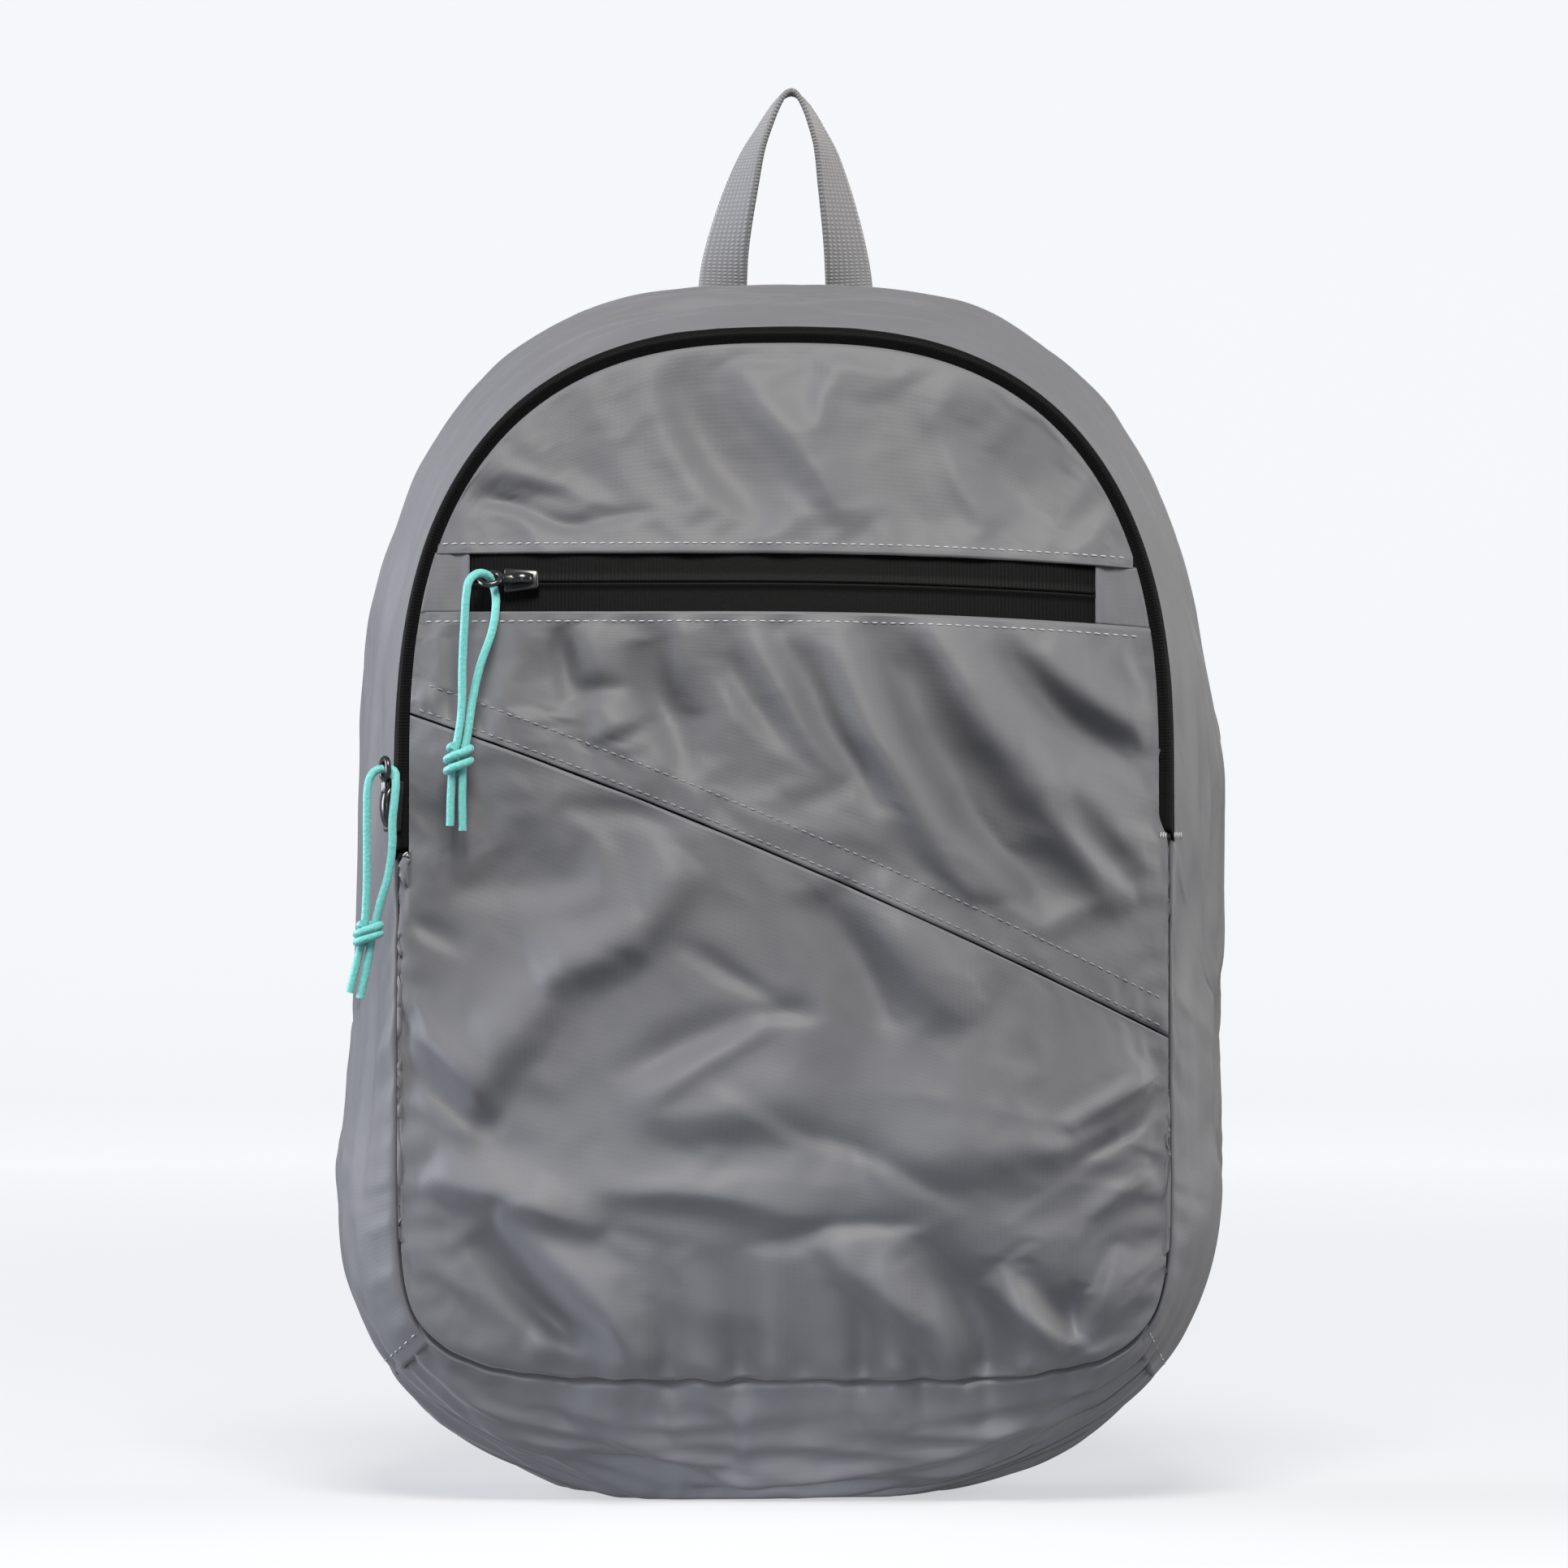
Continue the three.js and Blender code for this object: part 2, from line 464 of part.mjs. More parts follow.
for (const [side, name] of [
  [-1, "left"],
  [1, "right"],
]) {
  const place = (rows) => new THREE.CatmullRomCurve3(rows.map((p) => vec(side * p.x, p.y, p.z)));
  const run = place(STRAP_PATH);
  const widths = new THREE.CatmullRomCurve3(STRAP_PATH.map((p) => vec(p.halfWidth, 0, 0)));
  add(
    "shoulder_strap_" + name,
    strip(14, (u) => run.getPoint(u), (u) => vec(-widths.getPoint(u).x, 0, 0).multiplyScalar(-1), STRAP.thickness, 3),
    STRAP_MESH,
  );

  const web = place(LOWER_WEB_PATH);
  add(
    "lower_webbing_" + name,
    strip(6, (u) => web.getPointAt(u), () => vec(LOWER_WEB.width / 2, 0, side * 4), LOWER_WEB.thickness),
    WEBBING,
  );

  const { width, height, bar, web: thin } = BUCKLE_SIZE;
  const profile = new THREE.Shape();
  profile.moveTo(0, -height / 2).lineTo(0, height / 2).lineTo(-bar, height / 2).lineTo(-bar, height / 3);
  profile.lineTo(-thin, height / 4).lineTo(-bar, height / 8).lineTo(-bar, -height / 8);
  profile.lineTo(-thin, -height / 4).lineTo(-bar, -height / 3).lineTo(-bar, -height / 2).closePath();
  const ribbed = new THREE.ExtrudeGeometry(profile, { depth: width, bevelEnabled: false }).translate(0, 0, -width / 2);
  ribbed.applyMatrix4(new THREE.Matrix4().makeBasis(vec(0, -1, 0), vec(0, 0, 1), vec(-1, 0, 0)));
  ribbed.translate(side * BUCKLE_SIZE.x, BUCKLE_SIZE.y - bar, BUCKLE_SIZE.z);
  add("strap_buckle_" + name, ribbed, BUCKLE);
}

// Zip sliders: a body with an arched crown and, past its nose, a fixed eye for the cord. Along +X, outward +Z.
const SLIDER_SIZE = { width: 8, height: 3, crownRise: 3.2, crownWidth: 3, wall: 1.3, eyeRadius: 4.2, eyeHole: 2.3, eye: 1.4 };

function sliderSolid({ length, tilt }) {
  const { width, height, crownRise, crownWidth, wall, eyeRadius, eyeHole, eye } = SLIDER_SIZE;
  const plate = new THREE.Shape();
  plate.moveTo(-length / 2, -width * 0.36).lineTo(length / 2 - 2, -width / 2).lineTo(length / 2, -width * 0.3);
  plate.lineTo(length / 2, width * 0.3).lineTo(length / 2 - 2, width / 2).lineTo(-length / 2, width * 0.36).closePath();
  const body = solid(new THREE.ExtrudeGeometry(plate, { depth: height, bevelEnabled: false }));

  const arch = new THREE.Shape();
  const span = length / 2 - 1;
  arch.absellipse(0, 0, span, crownRise, 0, Math.PI, false).lineTo(-span + wall, 0);
  arch.absellipse(0, 0, span - wall, crownRise - wall, Math.PI, 0, true).closePath();
  const options = { depth: crownWidth, bevelEnabled: false, curveSegments: 4 };
  const archSolid = solid(new THREE.ExtrudeGeometry(arch, options).rotateX(Math.PI / 2));
  const crown = archSolid.translate([0, crownWidth / 2, height - 0.3]);

  const ring = new THREE.Shape().absarc(0, 0, eyeRadius, 0, 2 * Math.PI);
  ring.holes.push(new THREE.Path().absarc(0, 0, eyeHole, 0, 2 * Math.PI));
  const ringGeometry = new THREE.ExtrudeGeometry(ring, { depth: eye, bevelEnabled: false, curveSegments: 7 });
  const reach = length / 2 + eyeRadius - 0.5;
  const lift = height + 2;
  const loop = solid(ringGeometry.translate(0, 0, -eye / 2).rotateX(tilt).translate(reach, 0, lift));
  const neck = solid(new THREE.BoxGeometry(5, 2.4, 2.6).translate(length / 2 - 1.6, 0, height + 0.8));
  return { body: body.add(crown).add(loop).add(neck), eye: vec(reach, 0, lift) };
}

// A knotted pull: the cord is doubled through the eye, so it hangs as two strands. Routes are steps from the eye.
const PULLS = [
  {
    name: "pocket",
    slider: { length: 11, tilt: 0.7 },
    seat: onFront(-81.5, zipLine(-81.5)),
    out: vec(-0.16, -0.95, 0.24),
    toEye: vec(-1, 0, 0),
    knot: { width: 9.6, depth: 8, height: 11, at: [-9.7, -8.6, -56] },
    strands: {
      a: [
        [0, -0.4, 0.3],
        [-1.4, -1.6, 1.4],
        [-3.3, -3.1, 1.7],
        [-5, -4.6, 1],
        [-6.6, -5.9, -1.1],
        [-7.2, -6.4, -3.9],
        [-7.9, -6.5, -13],
        [-8.6, -6.4, -28],
        [-8.8, -6.9, -41],
        [-9.8, -8, -49],
        [-11.2, -8.6, -56],
        [-12, -8.6, -66],
        [-12.3, -8.8, -77],
      ],
      b: [
        [0, 0.4, -0.3],
        [0.6, 1.6, -1.7],
        [1.4, 1.2, -4.6],
        [1.6, -0.6, -9],
        [0.6, -2.6, -16],
        [-3, -4.8, -27],
        [-5.4, -6.4, -38],
        [-6.8, -7.8, -48],
        [-8.1, -8.6, -56],
        [-8.5, -8.7, -66],
        [-8.4, -8.9, -78.5],
      ],
    },
  },
  {
    name: "main",
    slider: { length: 16, tilt: -0.52 },
    seat: gussetPoint(-sidePlace(219.5), 0),
    out: vec(-0.62, -0.78, 0),
    toEye: vec(0, 0, 1),
    knot: { width: 9.6, depth: 8.4, height: 8.5, at: [-5.1, -2.8, -51] },
    strands: {
      a: [
        [-0.5, -0.2, 0],
        [-2.6, -1, -0.4],
        [-4.4, -1.7, -2.4],
        [-5.3, -2.2, -6],
        [-5.5, -2.5, -12],
        [-5.5, -2.7, -28],
        [-5.7, -2.7, -40],
        [-6.6, -2.8, -51],
        [-8.6, -2.9, -60],
        [-10.9, -3, -69.7],
      ],
      b: [
        [0.5, 0.2, 0],
        [2.5, 0.5, -0.4],
        [3.4, -1.8, -3.4],
        [3.2, -3.2, -9],
        [2.5, -3.7, -16],
        [2.4, -3.9, -24],
        [1.2, -3.6, -33],
        [-1.4, -3.2, -42],
        [-3.6, -2.8, -51],
        [-5.2, -2.8, -60],
        [-7.6, -3, -71.5],
      ],
    },
  },
];

function cordTube(route, radius) {
  const path = new THREE.CatmullRomCurve3(route);
  const section = new THREE.Shape().absarc(0, 0, radius, 0, 2 * Math.PI);
  const options = { steps: 14, curveSegments: CORD_SIDES / 2, extrudePath: path, bevelEnabled: false };
  return new THREE.ExtrudeGeometry(section, options);
}

// A knot's lump: an egg with three turns of cord showing round it
function knotLump({ width, depth, height }) {
  const egg = new THREE.SphereGeometry(1, 10, 8).rotateX(Math.PI / 2);
  const position = egg.attributes.position;
  for (let i = 0; i < position.count; i++) {
    const level = position.getZ(i);
    const turn = 1 + 0.09 * Math.cos(3 * Math.PI * level);
    position.setXYZ(i, (position.getX(i) * turn * width) / 2, (position.getY(i) * turn * depth) / 2, (level * height) / 2);
  }
  return egg;
}

for (const pull of PULLS) {
  const { body, eye } = sliderSolid(pull.slider);
  const out = pull.out.clone().normalize();
  const across = out.clone().cross(pull.toEye).normalize();
  const place = new THREE.Matrix4().makeBasis(across.clone().cross(out), across, out);
  place.setPosition(pull.seat.clone().addScaledVector(out, 2 * GAP));
  add(pull.name + "_zip_slider", geometryOf(body).applyMatrix4(place), SLIDER);

  const eyeAt = eye.applyMatrix4(place);
  let lump = solid(knotLump(pull.knot).translate(...eyeAt.clone().add(vec(...pull.knot.at)).toArray()));
  for (const [strand, steps] of Object.entries(pull.strands)) {
    const route = steps.map((step) => eyeAt.clone().add(vec(...step)));
    add(pull.name + "_cord_" + strand, cordTube(route, CORD / 2), PULL_CORD);
    lump = lump.subtract(solid(cordTube(route, CORD / 2 + GAP)));
  }
  add(pull.name + "_cord_knot", geometryOf(lump), PULL_CORD);
}

export default bag;
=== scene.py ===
import bisect
import json
import math

import bmesh
import bpy
from mathutils import Matrix, Vector, noise
from mathutils.bvhtree import BVHTree

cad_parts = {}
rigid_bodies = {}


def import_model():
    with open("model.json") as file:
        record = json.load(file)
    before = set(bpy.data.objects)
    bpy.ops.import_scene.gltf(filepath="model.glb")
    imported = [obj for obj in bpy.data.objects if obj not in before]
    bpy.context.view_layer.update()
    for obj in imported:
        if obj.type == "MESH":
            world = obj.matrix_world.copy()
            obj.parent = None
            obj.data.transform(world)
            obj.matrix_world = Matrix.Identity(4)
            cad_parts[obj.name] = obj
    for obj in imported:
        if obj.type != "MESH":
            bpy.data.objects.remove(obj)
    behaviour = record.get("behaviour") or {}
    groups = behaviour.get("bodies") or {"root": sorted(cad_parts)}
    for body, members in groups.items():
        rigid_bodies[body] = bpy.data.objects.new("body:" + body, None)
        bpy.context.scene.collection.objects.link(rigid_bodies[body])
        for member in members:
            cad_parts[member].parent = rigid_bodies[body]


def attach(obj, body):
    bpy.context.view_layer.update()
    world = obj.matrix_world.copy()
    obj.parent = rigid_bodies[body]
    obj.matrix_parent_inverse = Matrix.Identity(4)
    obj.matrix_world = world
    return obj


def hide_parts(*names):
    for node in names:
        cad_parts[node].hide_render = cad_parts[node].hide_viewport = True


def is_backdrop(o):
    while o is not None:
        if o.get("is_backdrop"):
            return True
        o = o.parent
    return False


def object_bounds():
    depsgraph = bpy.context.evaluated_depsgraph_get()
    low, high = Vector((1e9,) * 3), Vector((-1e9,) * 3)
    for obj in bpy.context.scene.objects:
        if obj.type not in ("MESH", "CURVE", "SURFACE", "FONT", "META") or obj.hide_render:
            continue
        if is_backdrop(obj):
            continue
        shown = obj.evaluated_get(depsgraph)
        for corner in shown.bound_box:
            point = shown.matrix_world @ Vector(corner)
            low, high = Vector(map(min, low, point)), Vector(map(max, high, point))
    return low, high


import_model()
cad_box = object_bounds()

# Camera and studio
# A long lens looks level at the front from 2.7 m, so that the sides stay straight. The round pale floor
# curves up into a low wall, and soft warm light from above leaves a cooler shade on what faces down.
EYE_HEIGHT = 0.2265
EYE_DISTANCE = 2.7
FOCAL_LENGTH = 194.4
SENSOR_WIDTH = 36

lens = bpy.data.cameras.new("camera")
lens.sensor_width = SENSOR_WIDTH
lens.lens = FOCAL_LENGTH
camera = bpy.data.objects.new("camera", lens)
camera.location = (0, -EYE_DISTANCE, EYE_HEIGHT)
camera.rotation_euler = (math.radians(90), 0, 0)
bpy.context.scene.collection.objects.link(camera)
bpy.context.scene.camera = camera
bpy.context.scene.view_settings.view_transform = "Standard"


def linear(code):
    """An sRGB hex colour as linear RGBA."""
    parts = [int(code[i : i + 2], 16) / 255 for i in (1, 3, 5)]
    return [p / 12.92 if p <= 0.04045 else ((p + 0.055) / 1.055) ** 2.4 for p in parts] + [1]


def node(tree, kind, links=(), **settings):
    """Adds a node: settings name its properties or input sockets, links are (input, source node, output)."""
    new = tree.nodes.new(kind)
    for name, value in settings.items():
        if hasattr(new, name):
            setattr(new, name, value)
        else:
            new.inputs[name.replace("_", " ").title()].default_value = value
    for socket, source, output in links:
        tree.links.new(source.outputs[output], new.inputs[socket])
    return new


def finish(name, base, roughness, **sockets):
    """A new material: returns it, its tree, its Principled shader and its texture coordinates."""
    material = bpy.data.materials.new(name)
    material.use_nodes = True
    tree = material.node_tree
    shader = tree.nodes["Principled BSDF"]
    shader.inputs["Base Color"].default_value = linear(base)
    shader.inputs["Roughness"].default_value = roughness
    for socket, value in sockets.items():
        shader.inputs[socket.replace("_", " ")].default_value = value
    return material, tree, shader, node(tree, "ShaderNodeTexCoord")


def link_mesh(name, mesh, material):
    """A finished bmesh becomes a smooth object at the origin, with its material."""
    for face in mesh.faces:
        face.smooth = True
    data = bpy.data.meshes.new(name)
    mesh.to_mesh(data)
    mesh.free()
    data.materials.append(material)
    piece = bpy.data.objects.new(name, data)
    bpy.context.scene.collection.objects.link(piece)
    return piece


FLOOR_RADIUS = 3.4
COVE_RADIUS = 0.9
COVE_STEPS = 8
COVE_SIDES = 64
WALL_TOP = 1.3
# Strength of the paper's glow, near the bag and far from it, and how far those are
GLOW = dict(to_min=0.57, to_max=0.9, from_min=0.3, from_max=2.4)

paper, tree, shader, where = finish("lit studio paper", "#7d7f82", 0.9, Emission_Color=linear("#f6f8fb"))
# Matt paper with its own light behind it, which is seen but kept off the bag, so that floor and wall look
# evenly pale while the folds of the cloth keep their shade.
far = node(tree, "ShaderNodeVectorMath", [(0, where, "Object")], operation="LENGTH")
glow = node(tree, "ShaderNodeMapRange", [("Value", far, "Value")], **GLOW)
seen = node(tree, "ShaderNodeLightPath")
shown = node(tree, "ShaderNodeMath", [(0, glow, 0), (1, seen, "Is Camera Ray")], operation="MULTIPLY")
tree.links.new(shown.outputs[0], shader.inputs["Emission Strength"])
cove = bmesh.new()
profile = [cove.verts.new((0, 0, 0)), cove.verts.new((FLOOR_RADIUS, 0, 0))]
for i in range(1, COVE_STEPS + 1):
    turn = i / COVE_STEPS * math.pi / 2
    across = FLOOR_RADIUS + COVE_RADIUS * math.sin(turn)
    profile.append(cove.verts.new((across, 0, COVE_RADIUS * (1 - math.cos(turn)))))
profile.append(cove.verts.new((FLOOR_RADIUS + COVE_RADIUS, 0, WALL_TOP)))
edges = [cove.edges.new(pair) for pair in zip(profile, profile[1:])]
bmesh.ops.spin(
    cove,
    geom=profile + edges,
    cent=(0, 0, 0),
    axis=(0, 0, 1),
    angle=2 * math.pi,
    steps=COVE_SIDES,
    use_merge=True,
)
bmesh.ops.remove_doubles(cove, verts=cove.verts, dist=0.0001)
studio = link_mesh("studio_cove", cove, paper)
studio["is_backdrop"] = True

AIR_STRENGTH = 0.2
world = bpy.data.worlds.new("studio air")
world.use_nodes = True
air = world.node_tree.nodes["Background"]
air.inputs["Color"].default_value = linear("#e3e9f5")
air.inputs["Strength"].default_value = AIR_STRENGTH
bpy.context.scene.world = world


def hang_light(name, lamp, watts, tint, place, aim):
    """A lamp with its power and colour hung at a place and turned to what it lights."""
    lamp.energy = watts
    lamp.color = linear(tint)[:3]
    light = bpy.data.objects.new(name, lamp)
    light.location = place
    light.rotation_euler = (Vector(aim) - light.location).to_track_quat("-Z", "Y").to_euler()
    bpy.context.scene.collection.objects.link(light)


BAG_MIDDLE = (0, 0, 0.2)
# Name, place, size in metres, power in watts and tint
STUDIO_LIGHTS = [
    ("overhead softbox", (0, -1.08, 1.58), 0.7, 50, "#fffaf2"),
    ("left softbox", (-2, 0.1, 0.55), 1.2, 60, "#f3f6ff"),
    ("right softbox", (2, 0.1, 0.65), 1.2, 36, "#fffaf4"),
    ("front softbox", (0, -2.3, 0.35), 0.4, 4, "#f4f6fa"),
]
for name, place, size, watts, tint in STUDIO_LIGHTS:
    softbox = bpy.data.lights.new(name, "AREA")
    softbox.size = size
    hang_light(name, softbox, watts, tint, place, BAG_MIDDLE)

# A narrow soft spot from low in front lights the bottom panel, which turns away from the softboxes
SPOT_SPREAD = 9
SPOT_RADIUS = 0.12
SPOT_WATTS = 310
SPOT_PLACE = (-0.35, -2.2, 0.14)
SPOT_AIM = (0, 0, -0.035)
spot = bpy.data.lights.new("low spot", "SPOT")
spot.spot_size = math.radians(SPOT_SPREAD)
spot.spot_blend = 1
spot.shadow_soft_size = SPOT_RADIUS
hang_light("low spot", spot, SPOT_WATTS, "#f2f5fa", SPOT_PLACE, SPOT_AIM)

# Zip pulls
# Teal braided cord, 2.6 mm, doubled through the eye of each slider. Its two strands hang down and are tied
# together in one overhand knot, with two short cut ends below it.
CORD_DIAMETER = 0.0026
KNOT_TURNS = 2.4
KNOT_START = 1.2
KNOT_POINTS = 30
KNOT_SLANT = 0.22
# Places in metres: each slider's eye, and from it the knot and the points of both strands
PULLS = {
    "pocket": {
        "eye": (-0.09148, -0.05953, 0.29049),
        "knot": (-0.0097, -0.0086, -0.056),
        "knot_size": (0.0098, 0.0082, 0.0112),
        "a": [
            (0, -0.0004, 0.0003),
            (-0.0014, -0.0016, 0.0014),
            (-0.0033, -0.0031, 0.0017),
            (-0.005, -0.0046, 0.001),
            (-0.0066, -0.0059, -0.0011),
            (-0.0072, -0.0064, -0.0039),
            (-0.0079, -0.0065, -0.013),
            (-0.0086, -0.0064, -0.028),
            (-0.0088, -0.0069, -0.041),
            (-0.0098, -0.008, -0.049),
            (-0.0112, -0.0086, -0.056),
            (-0.012, -0.0086, -0.066),
            (-0.0123, -0.0088, -0.077),
        ],
        "b": [
            (0, 0.0004, -0.0003),
            (0.0006, 0.0016, -0.0017),
            (0.0014, 0.0012, -0.0046),
            (0.0016, -0.0006, -0.009),
            (0.0006, -0.0026, -0.016),
            (-0.003, -0.0048, -0.027),
            (-0.0054, -0.0064, -0.038),
            (-0.0068, -0.0078, -0.048),
            (-0.0081, -0.0086, -0.056),
            (-0.0085, -0.0087, -0.066),
            (-0.0084, -0.0089, -0.0785),
        ],
    },
    "main": {
        "eye": (-0.12448, -0.05857, 0.2312),
        "knot": (-0.0051, -0.0028, -0.051),
        "knot_size": (0.0098, 0.0086, 0.0088),
        "a": [
            (-0.0005, -0.0002, 0),
            (-0.0026, -0.001, -0.0004),
            (-0.0044, -0.0017, -0.0024),
            (-0.0053, -0.0022, -0.006),
            (-0.0055, -0.0025, -0.012),
            (-0.0055, -0.0027, -0.028),
            (-0.0057, -0.0027, -0.04),
            (-0.0066, -0.0028, -0.051),
            (-0.0086, -0.0029, -0.06),
            (-0.0109, -0.003, -0.0697),
        ],
        "b": [
            (0.0005, 0.0002, 0),
            (0.0025, 0.0005, -0.0004),
            (0.0034, -0.0018, -0.0034),
            (0.0032, -0.0032, -0.009),
            (0.0025, -0.0037, -0.016),
            (0.0024, -0.0039, -0.024),
            (0.0012, -0.0036, -0.033),
            (-0.0014, -0.0032, -0.042),
            (-0.0036, -0.0028, -0.051),
            (-0.0052, -0.0028, -0.06),
            (-0.0076, -0.003, -0.0715),
        ],
    },
}

YARN = 0.0011
braid, tree, shader, where = finish("teal braided cord", "#48a09d", 0.55, Sheen_Weight=0.3)
# Braided polyester: its diagonal yarns, about 0.7 mm wide, are drawn 1.1 mm apart so that they show, as small
# lozenges, lighter in the middle and darkened with painted shade towards their edges between the yarns.
yarn = node(tree, "ShaderNodeTexVoronoi", [("Vector", where, "Object")], scale=1 / YARN)
# painted shade: darker towards the edges of each yarn's lozenge, between the yarns
shade = node(tree, "ShaderNodeMapRange", [("Value", yarn, "Distance")], to_min=1, to_max=0.72)
tone = node(tree, "ShaderNodeMix", [(0, shade, 0)], data_type="RGBA")
tone.inputs[6].default_value = linear("#2c8685")
tone.inputs[7].default_value = linear("#5faeab")
tree.links.new(tone.outputs[2], shader.inputs["Base Color"])
relief = node(tree, "ShaderNodeBump", [("Height", yarn, "Distance")], strength=0.5, distance=0.0003)
tree.links.new(relief.outputs[0], shader.inputs["Normal"])


def cord_curve(name, points):
    """A round cord through the points, as a smooth curve."""
    data = bpy.data.curves.new(name, "CURVE")
    data.dimensions = "3D"
    data.bevel_depth = CORD_DIAMETER / 2
    data.bevel_resolution = 4
    data.resolution_u = 8
    data.use_fill_caps = True
    spline = data.splines.new("BEZIER")
    spline.bezier_points.add(len(points) - 1)
    for knot, place in zip(spline.bezier_points, points):
        knot.co = place
        knot.handle_left_type = knot.handle_right_type = "AUTO"
    data.materials.append(braid)
    piece = bpy.data.objects.new(name, data)
    bpy.context.scene.collection.objects.link(piece)
    return piece


for name, pull in PULLS.items():
    eye = Vector(pull["eye"])
    middle = eye + Vector(pull["knot"])
    wide, deep, tall = pull["knot_size"]
    wraps = []
    for i in range(KNOT_POINTS):
        f = i / (KNOT_POINTS - 1)
        angle = 2 * math.pi * KNOT_TURNS * f + KNOT_START
        tuck = 0.55 + 0.45 * min(1, 8 * f, 8 * (1 - f))
        reach = Vector((wide - CORD_DIAMETER, deep - CORD_DIAMETER)) / 2 * tuck
        rise = (f - 0.5) * (tall - CORD_DIAMETER)
        x = reach.x * math.cos(angle)
        wraps.append(middle + Vector((x, reach.y * math.sin(angle), rise + KNOT_SLANT * x)))
    tied = cord_curve(name + "_pull_knot", wraps)
    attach(tied, "root")
    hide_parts(name + "_cord_knot")
    for strand in ("a", "b"):
        route = [eye + Vector(step) for step in pull[strand]]
        hung = cord_curve(name + "_pull_" + strand, route)
        long = hung.data.splines[0].calc_length()
        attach(hung, "root")
        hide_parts(name + "_cord_" + strand)

# Front panels
# Thin grey nylon taffeta in three pieces: above the pocket zip, between the zip and a diagonal seam, and
# below the seam. They are sewn into the gusset and the main zip's tape, and what is packed crowns them.
MM = 0.001
FRONT_SEAM = dict(half_width=121, top=369, shoulder=230, hip=110, bottom=39, top_power=2.6, bottom_power=5)
FRONT_DEPTH = 56
DEEPEST_Z = 150
LEAN_TOP = 18
LEAN_BOTTOM = 8
FRONT_CROWN = 19
CROWN_Z = 140
SEAM_INSET = 1.0
ZIP_INSET = 3.9
ZIP_END = 1.5
MAIN_ZIP_ENDS = {-1: 206, 1: 212}
POCKET_ZIP = dict(z=289.5, half_width=9.2, left=-98.5, right=97.5, droop=0.0003, droop_from=-15)
DIAGONAL = dict(z=203.5, slope=-0.425, bend=-0.00035)

FOLD_DEPTH = 1.9
STEEP_SIDE = 0.6
SOFT_SIDE = 1.2

# Folds as the cloth lies, in mm: from (x1, z1) to (x2, z2), half width and rise; valleys are negative
FRONT_FOLDS = [
    ("valley under the zip", 22, 277, 84, 184, 10, -5),
    ("ridge beside it", 42, 277, 106, 184, 10, 5),
    ("ridge at its left", 4, 277, 62, 188, 9, 4),
    ("ridge at the right edge", 70, 275, 119, 238, 8, 3),
    ("valley at the right edge", 62, 268, 117, 224, 7, -3),
    ("ridge by the cord", -62, 277, -50, 236, 9, 2.5),
    ("valley by the cord", -44, 270, -28, 228, 8, -2.5),
    ("hollow below the zip", -84, 262, -18, 244, 14, -2.5),
    ("upper left crease", -104, 312, -52, 322, 7, -2),
    ("upper slant valley", -42, 360, -4, 304, 10, -3),
    ("upper middle ridge", -14, 360, 20, 304, 9, 3),
    ("upper right valley", 46, 340, 96, 304, 12, -2.5),
    ("left shoulder slope", -108, 118, -70, 170, 13, 4),
    ("middle shoulder slope", -78, 167, -42, 179, 12, 4),
    ("seam shoulder slope", -48, 173, -30, 204, 10, 3.5),
    ("left hollow", -104, 196, -58, 198, 8, -2.5),
    ("ridge beside the hollow", 18, 192, 58, 152, 11, 4.5),
    ("hollow below the seam", 6, 190, 40, 152, 10, -3),
    ("right belly slope", 24, 114, 116, 120, 18, 4),
    ("packing crease", -52, 132, -10, 158, 6, -2.5),
    ("belly slope", -52, 128, 14, 125, 12, 3),
    ("left level fold", -112, 105, -56, 91, 9, 4.5),
    ("level fold", -62, 105, 14, 92, 7, 2.5),
    ("corner ridge", -88, 95, -36, 37, 9, 6),
    ("corner valley", -98, 84, -50, 38, 8, -4),
    ("corner facet", -80, 52, -42, 41, 8, 3.5),
    ("gather 1", 12, 88, 56, 38, 8, 4),
    ("gather 2", 44, 90, 65, 38, 8, -4.5),
    ("gather 3", 62, 74, 93, 40, 8, 3.5),
    ("gather 4", 72, 80, 98, 46, 7, -3.5),
]
